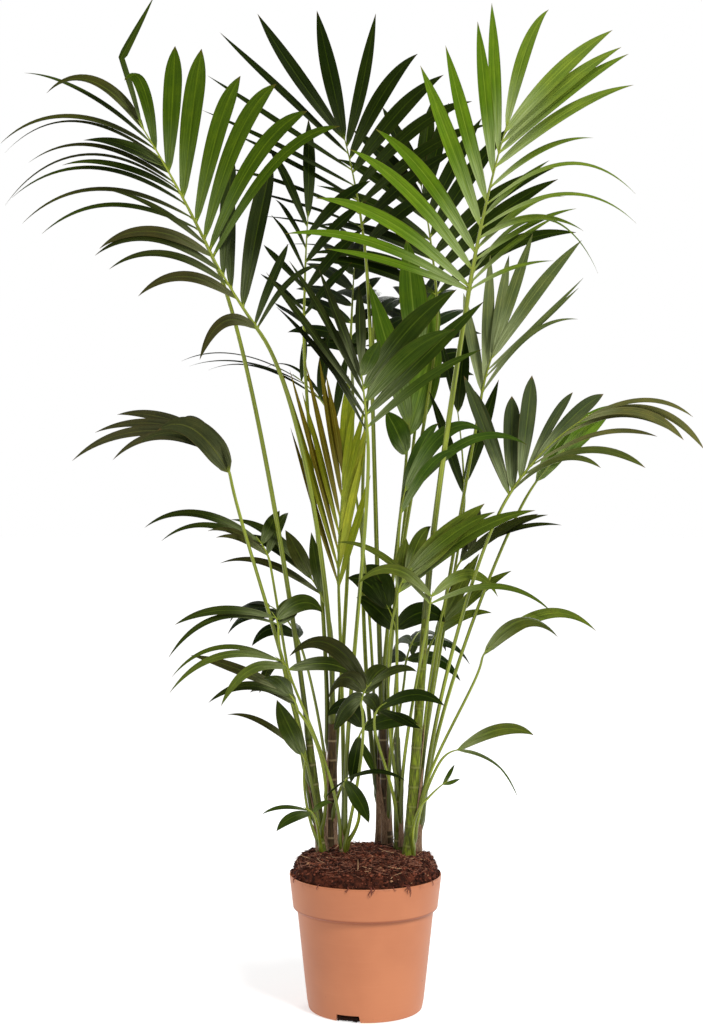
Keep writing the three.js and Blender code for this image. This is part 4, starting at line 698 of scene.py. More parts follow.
def aim_single(leaf, side, plan, spot, chance):
    """A leaflet whose tip is given, and perhaps a kink on the way to it."""
    _, across, height, droop, wide, *kink = spot
    plan["width"] = leaf["width"] * wide * about(chance[3], 0.08)
    plan["roll"] = mix(*side["roll"], plan["t"]) * about(chance[0], 0.2)
    plan["droop"] = droop
    deep = plan["base"][1] + mix(*side["deep"], plan["t"])
    tip = vec((across, deep, height))
    if kink:
        middle = vec((kink[0], (plan["base"][1] + deep) / 2, kink[1]))
        aim_at(plan, middle)
        plan["length"] *= 2
        plan["bent"] = unit(tip - middle)
    else:
        aim_at(plan, tip)


def hang_in_row(leaf, side, plan, share, chance):
    """A leaflet of an even row."""
    plan["splay"] = along(side["splay"], share) + (chance[0] - 0.5) * SPLAY_CHANCE
    plan["lift"] = side["lift"] + (chance[1] - 0.5) * LIFT_CHANCE
    plan["length"] = along(side["length"], share) * about(chance[2], 0.1)
    plan["width"] = leaf["width"] * about(chance[3], 0.24)
    plan["droop"] = mix(*side["droop"], share) * about(chance[1], 0.3)
    plan["roll"] = mix(*side["roll"], share) * about(chance[0], 0.2)


def place_in_row(side, sign, share, count):
    """Its place along the rachis; a right row stands between the left one's leaflets."""
    first, last = side["span"]
    t = mix(first, last, share)
    if sign < 0 and count > 1:
        t = min(1, t + STAGGER / count * (last - first) * (1 - share))
    return t


def leaf_plans(leaf, rachis, roll):
    angle = math.radians(leaf["face"])
    to_left = vec((math.sin(angle), -math.cos(angle), 0))
    controls, length, _ = rachis
    plans = []
    for sign, side in ((1, leaf["left"]), (-1, leaf["right"])):
        ends = side.get("tips")
        count = len(ends) if ends else side["count"]
        for i in range(count):
            share = i / max(1, count - 1)
            chance = [next(roll) for _ in range(4)]
            t = ends[i][0] if ends else place_in_row(side, sign, share, count)
            t = min(1 - LAST_LEAF / length, max(t, FIRST_LEAF / length))
            stem = rachis_radius(leaf, t)
            ahead = unit(mix(controls[1] - controls[0], controls[2] - controls[1], t))
            left = flattened(to_left, ahead)
            plan = {
                "base": bezier(controls, t) + left * (sign * stem * LEAF_ASIDE),
                "ahead": ahead, "left": left, "face": cross(left, ahead), "sign": sign,
                "t": t, "stem": stem, "bent": None,
                "widest": side.get("widest") or leaf["widest"],
            }
            if ends:
                aim_single(leaf, side, plan, ends[i], chance)
            else:
                hang_in_row(leaf, side, plan, share, chance)
            plans.append(plan)
    return plans


# ---- growing: limbs first, then the leaflets of each frond -------------------------------
def cane_bundles():
    bundles = []
    for name, stem in CANES.items():
        foot, axis = cane_path(stem)
        heights = [0, CANE_FLARE_HEIGHT * 0.5, CANE_FLARE_HEIGHT]
        for i in range(1, CANE_STEPS - 1):
            heights.append(mix(CANE_FLARE_HEIGHT, stem["height"], i / (CANE_STEPS - 2)))
        points = [foot + axis * height for height in heights]
        radii = [cane_radius(stem, height) for height in heights]
        bundles.append(line_bundle("cane_" + name, points, radii))
    return bundles


def way_for_stalk(plant, limbs):
    """The first turn and bend that keep the stalk clear of the other limbs."""
    leaf = plant["leaf"]
    name, cane_name = leaf["name"], "cane_" + leaf["cane"]
    radii = stalk_radii(leaf, STALK_STEPS)
    own_cane = Field(b for b in limbs if b.owner == cane_name)
    strangers = Field(b for b in limbs if b.owner not in (name, cane_name))
    for turn in [0] if leaf["start"] == "top" else STALK_TURNS:
        for bend in STALK_BENDS:
            controls, sunk = stalk_controls(plant, turn, bend)
            points = [bezier(controls, i / STALK_STEPS) for i in range(STALK_STEPS + 1)]
            points[0] = points[0] + sunk
            beyond_root = line_bundle(name, points[1:], radii[1:])
            whole = line_bundle(name, points, radii)
            if own_cane.touched(beyond_root, 0) or strangers.touched(whole, LIMB_AIR):
                continue
            return controls, whole
    raise ValueError("no way clear for the stalk of " + name)


def fit_leaflet(leaf, plan, others, beside):
    """The first turn and length clear of everything, or else clear of all but its sisters."""
    spare = None
    for shorter in LEAF_SHORTER:
        for turn in LEAF_TURNS:
            whole, outer = leaf_bundles(leaf, plan, turn, shorter)
            if others.touched(whole, LEAF_AIR):
                continue
            found = (plan, turn, shorter), whole, outer
            if not beside.touched(outer, 0):
                return found
            spare = spare or found
    return spare


def grow():
    limbs = cane_bundles()
    palm = []
    shares = [i / RACHIS_STEPS for i in range(RACHIS_STEPS + 1)]
    for leaf in FRONDS:
        rachis = rachis_of(leaf)
        points = [bezier(rachis[0], t) for t in shares]
        limbs.append(line_bundle(leaf["name"], points, [rachis_radius(leaf, t) for t in shares]))
        palm.append({"leaf": leaf, "rachis": rachis, "leaves": []})
    for plant in sorted(palm, key=lambda plant: plant["leaf"]["start"] != "top"):
        plant["stalk"], plant["whole"] = way_for_stalk(plant, limbs)
        limbs.append(plant["whole"])
    grown = []
    for index, plant in enumerate(palm):
        leaf, whole = plant["leaf"], plant["whole"]
        own = Bundle("own", whole.starts[:-1], whole.ends[:-1], whole.radii[:-1])
        others = Field(
            [b for b in limbs if b.owner != leaf["name"]] + [own]
            + [b for b in grown if b.owner != leaf["name"]]
        )
        sisters = []
        for plan in leaf_plans(leaf, plant["rachis"], dice(index + 1)):
            found = fit_leaflet(leaf, plan, others, Field(sisters))
            if found:
                plant["leaves"].append(found[0])
                grown.append(found[1])
                sisters.append(found[2])
    return palm


# ---- meshes ------------------------------------------------------------------------------
SLIVER = 0.004  # of the map under each cap corner, so that the bake has somewhere to draw


def stand(name, data):
    """An object in the scene."""
    made = bpy.data.objects.new(name, data)
    bpy.context.scene.collection.objects.link(made)
    return made


class Shape:
    """Vertices, faces and map places gathered for one piece."""

    def __init__(self):
        self.spots, self.quads, self.quad_maps, self.tris, self.tri_maps = [], [], [], [], []
        self.count = 0

    def add(self, spots, quads, quad_map, tris, tri_map):
        self.spots.append(spots)
        self.quads.append(quads + self.count)
        self.tris.append(tris + self.count)
        self.quad_maps.append(quad_map)
        self.tri_maps.append(tri_map)
        self.count += len(spots)

    def piece(self, name, material, slot, replaced=(), sharp=None):
        spots = np.concatenate(self.spots) * MM
        quads, tris = np.concatenate(self.quads), np.concatenate(self.tris)
        corners = np.concatenate((quads.ravel(), tris.ravel())).astype(np.int32)
        sizes = np.repeat((4, 3), (len(quads), len(tris)))
        first = np.concatenate(([0], np.cumsum(sizes)[:-1])).astype(np.int32)
        maps = np.concatenate(self.quad_maps + self.tri_maps).astype(np.float32)
        mesh = bpy.data.meshes.new(name)
        mesh.vertices.add(len(spots))
        mesh.vertices.foreach_set("co", spots.astype(np.float32).ravel())
        mesh.loops.add(len(corners))
        mesh.loops.foreach_set("vertex_index", corners)
        mesh.polygons.add(len(sizes))
        mesh.polygons.foreach_set("loop_start", first)
        mesh.polygons.foreach_set("use_smooth", np.ones(len(sizes), bool))
        mesh.update(calc_edges=True)
        mesh.uv_layers.new(name="OFBake").uv.foreach_set("vector", maps.ravel())
        if sharp:
            mesh.set_sharp_from_angle(angle=math.radians(sharp))
        mesh.validate()
        made = stand(name, mesh)
        mesh.materials.append(material)
        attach(made, "root")
        if replaced:
            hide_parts(*replaced)
        return made


def edges(low, high, around):
    """The map's u at the two sides of each face round a ring."""
    places = np.linspace(low, high, around + 1)
    return np.array((places[:-1], places[1:]))


def skin(shape, rings, sides, heights, cap_map=(0.5, 0.5)):
    """Adds a row of closed rings and their caps. heights is the map's v at each ring."""
    rings = np.array(rings)
    steps, around = rings.shape[:2]
    i = np.arange(steps - 1)[:, None] * around
    j = np.arange(around)[None]
    after = (j + 1) % around
    quads = np.stack(np.broadcast_arrays(
        i + j, i + after, i + around + after, i + around + j,
    ), -1).reshape(-1, 4)
    left, right, low, high = np.broadcast_arrays(
        sides[0][None], sides[1][None], heights[:-1, None], heights[1:, None],
    )
    quad_map = np.stack((left, low, right, low, right, high, left, high), -1).reshape(-1, 2)
    far = (steps - 1) * around
    bottom = np.broadcast_arrays(far + around, after[0], j[0])
    top = np.broadcast_arrays(far + around + 1, far + j[0], far + after[0])
    tris = np.concatenate((np.stack(bottom, -1), np.stack(top, -1)))
    corner = vec(cap_map) + vec(((0, 0), (SLIVER, 0), (0, SLIVER)))
    spots = np.concatenate((
        rings.reshape(-1, 3), rings[0].mean(0)[None], rings[-1].mean(0)[None],
    ))
    shape.add(spots, quads, quad_map, tris, np.tile(corner, (2 * around, 1)))


def add_tube(shape, points, radii, around, channel=0.0, facing=(1, 0.2, 0), u=(0, 1), v=(0, 1)):
    """Round rings carried along a path without twist, with a furrow on the facing side."""
    points = np.array(points)
    ahead = np.gradient(points, axis=0)
    ahead /= np.linalg.norm(ahead, axis=1)[:, None]
    side = vec(facing)
    angles = np.arange(around) * 2 * math.pi / around
    shrink = 1 - channel * np.maximum(0, np.cos(angles)) ** 6
    rings = []
    for point, way, radius in zip(points, ahead, radii):
        side = flattened(side, way)
        up = cross(way, side)
        ring = np.cos(angles)[:, None] * side + np.sin(angles)[:, None] * up
        rings.append(point + ring * (radius * shrink)[:, None])
    gaps = np.linalg.norm(np.diff(points, axis=0), axis=1)
    run = np.concatenate(([0], np.cumsum(gaps)))
    heights = v[0] + (v[1] - v[0]) * run / run[-1]
    skin(shape, rings, edges(*u, around), heights, cap_map=(u[0] + 0.002, v[0] + 0.002))


# ---- leaflets, drawn ---------------------------------------------------------------------
BLADE_STEPS = 24
SHARES = np.arange(BLADE_STEPS + 1) / BLADE_STEPS
ACROSS = np.array((-1, -0.84, -0.67, -0.5, -0.33, -0.165, 0, 0.165, 0.33, 0.5, 0.67, 0.84, 1.0))
PLEAT = np.array((0, 1, -1, 1, -1, 0.6, 0.8, 0.6, -1, 1, -1, 1, 0.0))
PLEAT_MOST, PLEAT_SHARE = 0.42, 0.045  # height of the pleats in mm, and per half width
BLADE_THICK = 0.8  # at the midrib
ROOT_HALF = 0.55  # half width where a leaflet joins, per rachis radius
ROOT_RUN = 0.07  # of the length, where it widens from that
TIP_HALF = 0.15
TWIST, SWEEP = 34, 0.05  # degrees, and share of the length, both ways together
WAVER, WAVES = (0.6, 1.6), (5, 9)
FOLD, UNFOLD = (0.2, 0.34), 0.45  # how far the halves hang, and how much less at the tip
CURL = (-0.05, 0.16)
RIB_DEEP, RIB_WIDE = 0.45, 0.1
BANDS = 8  # strips of the map: four tints, each with an upper and a lower face
MARGIN = 0.08  # of a strip, left free on both sides
STRIP = MARGIN + (1 - 2 * MARGIN) * (1 + ACROSS) / 2


def blade_halves(plan):
    halves = np.array([leaf_width(plan["widest"], u) for u in SHARES]) * plan["width"] / 2
    root = plan["stem"] * ROOT_HALF
    halves = root + (halves - root) * np.clip(SHARES / ROOT_RUN, 0, 1) ** 0.7
    halves[-1] = TIP_HALF
    return halves


def add_leaflet(shape, kept, chance):
    """A slow twist, a sideways sweep and a slight waver, none of which move the root."""
    plan, turn, shorter = kept
    points, sides, normals = leaf_curve(plan, turn, shorter, BLADE_STEPS)
    half = blade_halves(plan)[:, None]
    twist = (math.radians((chance.random() - 0.5) * TWIST) * SHARES ** 1.4)[:, None]
    sweep = (chance.random() - 0.5) * SWEEP * (plan["length"] * shorter) * SHARES ** 2
    waver = chance.uniform(*WAVER) * np.sin(SHARES * chance.uniform(*WAVES) + chance.random() * 6)
    points = points + sides * sweep[:, None] + normals * (waver * SHARES)[:, None]
    sides, normals = (
        np.cos(twist) * sides + np.sin(twist) * normals,
        np.cos(twist) * normals - np.sin(twist) * sides,
    )
    fold = (chance.uniform(*FOLD) * (1 - UNFOLD * SHARES))[:, None]
    curl = chance.uniform(*CURL)
    pleat = np.minimum(PLEAT_MOST, half * PLEAT_SHARE)
    s = ACROSS[None]
    rise = -fold * np.abs(s) * half - curl * s ** 4 * half + pleat * PLEAT[None]
    body = BLADE_THICK / 2 * np.sqrt(np.clip(1.04 - s ** 2, 0.04, 1)) * np.ones_like(rise)
    body = body * np.clip(half / 3, 0.2, 1)
    rib = RIB_DEEP * np.exp(-(s / RIB_WIDE) ** 2) * np.clip(1 - SHARES, 0.1, 1)[:, None]
    flat = points[:, None] + sides[:, None] * (s * half)[..., None]
    top = flat + normals[:, None] * (rise + body)[..., None]
    under = flat + normals[:, None] * (rise - body - rib)[..., None]
    edge = (top + under) / 2
    rings = np.concatenate((edge[:, -1:], under[:, -2:0:-1], edge[:, :1], top[:, 1:-1]), 1)
    variant = chance.choice((0, 1) if plan["sign"] > 0 else (2, 3))
    lower = (variant * 2 + 1 + STRIP[::-1]) / BANDS
    upper = (variant * 2 + STRIP) / BANDS
    lefts = np.concatenate((lower[:-1], upper[:-1]))
    rights = np.concatenate((lower[1:], upper[1:]))
    skin(shape, rings, (lefts, rights), 0.01 + 0.98 * SHARES, cap_map=(lefts[0], 0.02))


STALK_DRAWN, RACHIS_DRAWN = 26, 14  # steps of a stalk and of its rachis
RIB_SIDES, FURROW = 12, 0.22
TOP_LEAD = (22, 8)  # how deep in a cane's top its stalk begins, in two steps
SIDE_LEAD = ((0.7, 26), (0.3, 11))  # how far into a cane's side and down, in two steps
FOOT_STEPS, FOOT_SWELL = 5, 0.32  # steps that swell where a stalk leaves a cane's side
RIB_END, RIB_POINT, POINT_RUN = 0.9, 0.35, 9  # radii at a rachis's tip and beyond it
KNOT = ((0, 0.8), (0.35, 0.75), (0.8, 0.25))  # along a leaflet's first step, per rachis radius


def rib_path(plant):
    """Points and radii of a stalk and its rachis in one."""
    leaf = plant["leaf"]
    stem = CANES[leaf["cane"]]
    stalk = [bezier(plant["stalk"], i / STALK_DRAWN) for i in range(STALK_DRAWN + 1)]
    radii = stalk_radii(leaf, STALK_DRAWN)
    foot, axis = cane_path(stem)
    if leaf["start"] == "top":
        heights = [stem["height"] - deep for deep in TOP_LEAD]
        lead = [foot + axis * height for height in heights]
        grown = [cane_radius(stem, height) * 1.06 for height in heights]
        radii[0] = mix(grown[1], radii[1], 0.4)
    else:
        inward = foot + axis * leaf["start"] - stalk[0]
        lead = [stalk[0] + inward * share - axis * down for share, down in SIDE_LEAD]
        grown = [radii[0], radii[0] * 1.25]
        for i in range(FOOT_STEPS):
            radii[i] *= 1 + FOOT_SWELL * (1 - i / FOOT_STEPS) ** 1.5
    shares = [i / RACHIS_DRAWN for i in range(1, RACHIS_DRAWN + 1)]
    blade = [bezier(plant["rachis"][0], t) for t in shares]
    thin = [mix(leaf["stalk"] / 2, RIB_END, t) for t in shares]
    ending = blade[-1] + unit(blade[-1] - blade[-2]) * POINT_RUN
    return lead + stalk + blade + [ending], grown + radii + thin + [RIB_POINT]


def add_rib(shape, plant):
    points, radii = rib_path(plant)
    ahead = points[-1] - points[0]
    facing = (0.01 - ahead[0], -ahead[1], 0)
    add_tube(shape, points, radii, RIB_SIDES, channel=FURROW, facing=facing)
    # the swelling where each leaflet joins the rachis
    for plan, turn, shorter in plant["leaves"]:
        line, _, _ = leaf_curve(plan, turn, shorter, BLADE_STEPS)
        spots = [line[0] + (line[1] - line[0]) * far for far, _ in KNOT]
        add_tube(shape, spots, [plan["stem"] * thick for _, thick in KNOT], 6, v=(0.9, 0.96))


# ---- canes and their papery sheaths ------------------------------------------------------
CANE_SPAN = 400  # length of cane that the map's whole height stands for
CANE_BURIED = 12
CANE_EVERY = 3.0  # between the drawn rings
RING_EVERY = 31  # between the leaf scars
SCAR_WIDE, SCAR_HIGH = 1.9, 0.05  # mm, and per cane radius
SWELL, SWELL_WAVES = 0.02, 0.11
# cane, heading and spread in degrees, height from and to, how far the end stands off
SHEATHS = [
    ("a", 205, 130, 4, 138, 3.5), ("a", 330, 70, 2, 58, 2), ("a", 80, 110, 30, 175, 3),
    ("b", 218, 76, 3, 165, 4), ("b", 318, 56, 2, 92, 3), ("b", 60, 150, 10, 180, 3),
    ("c", 240, 120, 2, 44, 2), ("d", 300, 74, 24, 185, 4.5), ("d", 226, 66, 4, 104, 3),
    ("d", 60, 160, 8, 150, 3), ("e", 305, 70, 6, 128, 3), ("e", 100, 140, 20, 140, 3),
    ("f", 338, 76, 10, 142, 4), ("f", 110, 110, 4, 96, 3), ("f", 40, 60, 90, 210, 3),
    ("g", 260, 150, 6, 120, 4), ("g", 60, 150, 20, 150, 4), ("h", 320, 100, 2, 66, 3),
    ("h", 120, 120, 4, 80, 3),
]
SHEATH_STEPS, SHEATH_CELLS = 18, 14
SHEATH_TAPER = 0.72
SHEATH_HALF = 0.22  # half its thickness
SHEATH_DRIFT = 14  # degrees round the cane
SHEATH_WAVER = 0.35  # its waves off the cane


def add_cane(shape, stem, chance):
    foot, axis = cane_path(stem)
    heights = np.arange(-CANE_BURIED, stem["height"] + 1, CANE_EVERY)
    radii = []
    for height in heights:
        scar = math.exp(-((height % RING_EVERY - RING_EVERY / 2) / SCAR_WIDE) ** 2)
        swell = SWELL * math.sin(height * SWELL_WAVES + chance.random() * 0.4)
        radii.append(cane_radius(stem, max(0, height)) * (1 + SCAR_HIGH * scar + swell))
    radii[-1] *= 0.8
    points = [foot + axis * height for height in heights]
    add_tube(shape, points, radii, 24, v=(0, (heights[-1] + CANE_BURIED) / CANE_SPAN))


def add_sheath(shape, sheath, chance):
    """A dry strip of leaf base round part of a cane, closed, ragged at its end."""
    name, heading, spread, low, high, off = sheath
    stem = CANES[name]
    foot, axis = cane_path(stem)
    side = flattened(vec((1, 0, 0)), axis)
    front = cross(axis, side)
    torn = [chance.uniform(0.7, 1.0) for _ in range(SHEATH_CELLS + 1)]
    waves = chance.uniform(0, 6)
    rings = []
    for i in range(SHEATH_STEPS + 1):
        share = i / SHEATH_STEPS
        width = spread * (1 - SHEATH_TAPER * share ** 1.8)
        drift = SHEATH_DRIFT * math.sin(share * 2.4 + waves)
        outer, inner = [], []
        for j, end in enumerate(torn):
            across = j / SHEATH_CELLS * 2 - 1
            angle = math.radians(heading + drift + across * width / 2)
            height = low + (high - low) * share * mix(1, end, share)
            radius = cane_radius(stem, height) * 1.03 + 0.5 + off * share ** 3
            radius += SHEATH_WAVER * math.sin(across * 9 + waves) * (0.3 + share)
            spot = foot + axis * height
            around = side * math.cos(angle) + front * math.sin(angle)
            outer.append(spot + around * (radius + SHEATH_HALF))
            inner.append(spot + around * (radius - SHEATH_HALF))
        rings.append(outer + inner[::-1])
    places = np.abs(edges(-1, 1, len(rings[0])))
    skin(shape, rings, places, np.linspace(0.02, 0.98, SHEATH_STEPS + 1))


# ---- compost -----------------------------------------------------------------------------
INNER_RIM = RIM_RADIUS - WALL
INNER_BAND = BAND_RADIUS - WALL
INNER_NECK = NECK_RADIUS - WALL
INNER_FOOT = FOOT_RADIUS + 2 - WALL
HEAP = [
    (0, SOIL_HEAP[0]), (SOIL_SHOULDER / 2, SOIL_HEAP[1]), (SOIL_SHOULDER, SOIL_HEAP[2]),
    *SOIL_FLANK, (INNER_RIM - 1.5, SOIL_EDGE),
]
HEAP_AROUND, HEAP_RINGS = 150, 64
# size across, height and place in the noise of the lumps, of the clods and of the crumbs
LUMPS = ((23, 3.6, 3.1), (9, 2.4, 7.7), (4.2, 1.5, 1.9))
CALM_RUN = 9  # the lumps are lower this near to the pot's wall
CROWDING = 0.3  # 0.5 is even; less than that crowds the loose stuff on the steep flank
CRUMB_RINGS = ((-0.85, 0.45), (-0.3, 0.95), (0.35, 0.9), (0.85, 0.4))  # level and width
CRUMB_SIDES = 6
FIBRE_TAPER = (0.5, 0.9, 1, 1, 0.9, 0.7, 0.3)
ROOT_TAPER = (1, 1, 1, 0.9, 0.75, 0.35)
PLUG_STEPS, PLUG_CRUMBS = 14, 60  # of the very dark compost plug in a drain notch, which stands for painted shade
TURN = 6.3  # all the way round


def circle(radius, height, count):
    """Places round the axis."""
    angles = [i * 2 * math.pi / count for i in range(count)]
    return [(radius * math.cos(a), radius * math.sin(a), height) for a in angles]


def surface_height(x, y):
    """Height of the compost's crumbly surface."""
    radius = math.hypot(x, y)
    calm = max(0.0, min(1.0, (INNER_RIM - radius) / CALM_RUN))
    lumps = sum(high * noise.noise(Vector((x / s, y / s, seed))) for s, high, seed in LUMPS)
    return float(np.interp(radius, *zip(*HEAP))) + lumps * mix(0.35, 1.0, calm)


def add_compost(shape):
    rings = [circle(radius, height, HEAP_AROUND) for radius, height in (
        (3, FLOOR + CLEAR), (INNER_FOOT - CLEAR, FLOOR + CLEAR),
        (INNER_NECK - CLEAR, BAND_FOOT - 3), (INNER_BAND - CLEAR, BAND_FOOT + 3),
    )]
    for radius in np.linspace(INNER_RIM - 1.5, 1.5, HEAP_RINGS):
        level = circle(radius, 0, HEAP_AROUND)
        rings.append([(x, y, surface_height(x, y)) for x, y, _ in level])
    skin(shape, rings, edges(0, 1, HEAP_AROUND), np.linspace(0, 1, len(rings)))


def add_crumb(shape, spot, size, chance, flat=1.0):
    """A little irregular clod: a six-sided drum with crooked rings."""
    turn = chance.random() * TURN
    axis = unit(vec((chance.uniform(-0.5, 0.5), chance.uniform(-0.5, 0.5), 1)))
    side = flattened(level_way(turn), axis)
    up = cross(axis, side)
    rings = []
    long = chance.uniform(1.0, 1.7)
    for level, wide in CRUMB_RINGS:
        ring = []
        for k in range(CRUMB_SIDES):
            angle = k * math.pi / (CRUMB_SIDES / 2)
            reach = size * wide * chance.uniform(0.75, 1.2)
            around = side * math.cos(angle) * long + up * math.sin(angle)
            ring.append(spot + around * reach + axis * (size * level * flat))
        rings.append(ring)
    u, v = chance.uniform(0, 0.9), chance.uniform(0, 0.9)
    heights = np.linspace(v, v + 0.08, len(CRUMB_RINGS))
    skin(shape, rings, edges(u, u + 0.1, CRUMB_SIDES), heights)


def add_fibre(shape, spot, length, radius, chance):
    way = level_way(chance.random() * TURN)
    across = vec((-way[1], way[0], 0))
    bow = chance.uniform(-0.3, 0.3) * length
    lift = chance.uniform(0.05, 0.35) * length
    points = []
    for i in range(len(FIBRE_TAPER)):
        t = i / (len(FIBRE_TAPER) - 1) - 0.5
        point = spot + way * (t * length) + across * (bow * (0.25 - t * t))
        points.append(point + UP * (lift * (t + 0.5) ** 2 + 0.4))
    radii = [radius * share for share in FIBRE_TAPER]
    u = chance.uniform(0, 0.9)
    add_tube(shape, points, radii, 4, u=(u, u + 0.08), v=(0.02, 0.98))


# where a root hangs over the pot's rim: degrees round, and how far down it reaches
RIM_ROOTS = [
    (-86, 9), (-84.6, 6), (-87.2, 12), (-56, 15), (-58, 11), (-59.5, 6), (-57, 8), (-69, 4),
    (-104, 5), (-31, 7), (-128, 6), (22, 11), (23.5, 6), (61, 6), (97, 12), (99, 7), (139, 8),
    (171, 10), (-158, 6),
]


def add_rim_root(shape, heading, drop, chance):
    """A root that comes out of the compost, over the rim, and hangs down outside it."""
    lip = POT_HEIGHT
    route = [
        (INNER_RIM - 16, lip + 1), (INNER_RIM - 7, lip + 2.4), (RIM_RADIUS - 1.4, lip + 1.6),
        (RIM_RADIUS + 1.2, lip - 1), (RIM_RADIUS + 1.4, lip - drop * 0.6),
        (RIM_RADIUS + 0.9, lip - drop),
    ]
    drift, points = chance.uniform(-1.6, 1.6), []
    for i, (radius, height) in enumerate(route):
        angle = math.radians(heading + drift * math.sin(i * 1.9))
        points.append((radius * math.cos(angle), radius * math.sin(angle), height))
    thick = chance.uniform(0.6, 1.0)
    add_tube(shape, points, [thick * share for share in ROOT_TAPER], 6)


def notch_ways():
    """Outward and sideways directions at each drain notch."""
    for k in range(NOTCH_COUNT):
        out = level_way(math.radians(FIRST_NOTCH + 360 / NOTCH_COUNT * k))
        yield out, vec((-out[1], out[0], 0))


def add_notch_shade_plug(shape, out, side, chance):
    """The foot of the root ball seen through a drain notch, in a very dark tint that paints the
    shade inside the notch.
    """
    half = NOTCH_WIDTH / 2 - 2.5
    points, radii = [], []
    for i in range(PLUG_STEPS + 1):
        level = NOTCH_HEIGHT / 2 + chance.uniform(-0.3, 0.3)
        spot = out * (FOOT_RADIUS - 7) + side * mix(-half, half, i / PLUG_STEPS) + UP * level
        points.append(spot)
        radii.append(NOTCH_HEIGHT / 2 - chance.uniform(0.4, 1.1))
    add_tube(shape, points, radii, 12, v=(0.1, 0.9))
    for _ in range(PLUG_CRUMBS):
        spot = out * (FOOT_RADIUS - 4 + chance.uniform(-2, 1.5))
        spot = spot + side * chance.uniform(-half, half) + UP * chance.uniform(1.8, 8.6)
        add_crumb(shape, spot, chance.uniform(0.7, 1.7), chance)


def on_heap(chance, outer):
    """A random place on the compost."""
    radius = outer * chance.random() ** CROWDING
    angle = chance.random() * 2 * math.pi
    x, y = radius * math.cos(angle), radius * math.sin(angle)
    return vec((x, y, surface_height(x, y)))


# ---- pot ---------------------------------------------------------------------------------
POT_AROUND = 160
BLEED = 6  # how far the cutters stand out under the pot


def arc(r, z, radius, start, end, count=5):
    """Points of a fillet, angles in degrees from +r towards +z."""
    angles = [math.radians(mix(start, end, i / count)) for i in range(count + 1)]
    return [(r + radius * math.cos(a), z + radius * math.sin(a)) for a in angles]


def slope(r, z, to_r, to_z, shares):
    return [(mix(r, to_r, t), mix(z, to_z, t)) for t in shares]


def pot_profile():
    """Radii and heights, from the middle of the underside out, up and down the inside."""
    outer_band = RIM_RADIUS - (RIM_RADIUS - BAND_RADIUS) * 0.04
    return [
        (0.5, 1.4), (FOOT_RADIUS - 9, 1.4), (FOOT_RADIUS - 7.5, 0),
        *arc(FOOT_RADIUS - 2.6, 2.6, 2.6, -90, -8),
        (FOOT_RADIUS + 2.3, FLOOR),
        *slope(FOOT_RADIUS + 2.5, FLOOR, NECK_RADIUS, BAND_FOOT - 6, (0.25, 0.5, 0.75, 1)),
        *arc(NECK_RADIUS + 3.2, BAND_FOOT - 4.2, 3, 180, 90, 4),
        *arc(BAND_RADIUS - 3.2, BAND_FOOT + 2.2, 3.2, -90, 0),
        *slope(BAND_RADIUS, BAND_FOOT + 3, outer_band, POT_HEIGHT - 5, (0.33, 0.66, 1)),
        *arc(RIM_RADIUS - 1.1, POT_HEIGHT - 1.2, 1.15, -60, 180, 8),
        (INNER_RIM - 0.6, POT_HEIGHT - 6), (INNER_BAND, BAND_FOOT + 4),
        (INNER_NECK, BAND_FOOT - 3), (INNER_FOOT, FLOOR), (0.5, FLOOR),
    ]


def notch_cutters():
    """Tapered blocks, narrower at the top, where the drain notches are."""
    spots, faces = [], []
    quads = ((1, 3, 2, 0), (6, 7, 5, 4), (4, 5, 1, 0), (3, 7, 6, 2), (2, 6, 4, 0), (5, 7, 3, 1))
    for out, side in notch_ways():
        faces += [tuple(len(spots) + corner for corner in quad) for quad in quads]
        levels = (-BLEED, NOTCH_WIDTH / 2 + 1.2), (NOTCH_HEIGHT, NOTCH_WIDTH / 2 - 1.6)
        for height, half in levels:
            for far in (FOOT_RADIUS + 2 - NOTCH_DEPTH, FOOT_RADIUS + 12):
                for hand in (-1, 1):
                    spots.append(tuple((out * far + side * hand * half + UP * height) * MM))
    cutters = bpy.data.meshes.new("notch_cutters")
    cutters.from_pydata(spots, [], faces)
    return stand("notch_cutters", cutters)


def build_pot():
    shape = Shape()
    rings = [circle(radius, height, POT_AROUND) for radius, height in pot_profile()]
    skin(shape, rings, edges(0, 1, POT_AROUND), np.linspace(0, 1, len(rings)))
    pot = shape.piece("pot_shell", pot_material(), "pot", ["pot"])
    pot.data.uv_layers.remove(pot.data.uv_layers[0])
    cutters = notch_cutters()
    cut = pot.modifiers.new("notches", "BOOLEAN")
    cut.operation = "DIFFERENCE"
    cut.solver = "EXACT"
    cut.object = cutters
    graph = bpy.context.evaluated_depsgraph_get()
    made = bpy.data.meshes.new_from_object(pot.evaluated_get(graph), depsgraph=graph)
    pot.modifiers.clear()
    pot.data = made
    bpy.data.objects.remove(cutters)
    pot.data.set_sharp_from_angle(angle=math.radians(38))


# ---- materials ---------------------------------------------------------------------------
def linear(colour):
    """A linear colour from 8-bit display values."""
    made = []
    for value in colour:
        c = value / 255
        made.append(c / 12.92 if c <= 0.04045 else ((c + 0.055) / 1.055) ** 2.4)
    return (*made, 1.0)


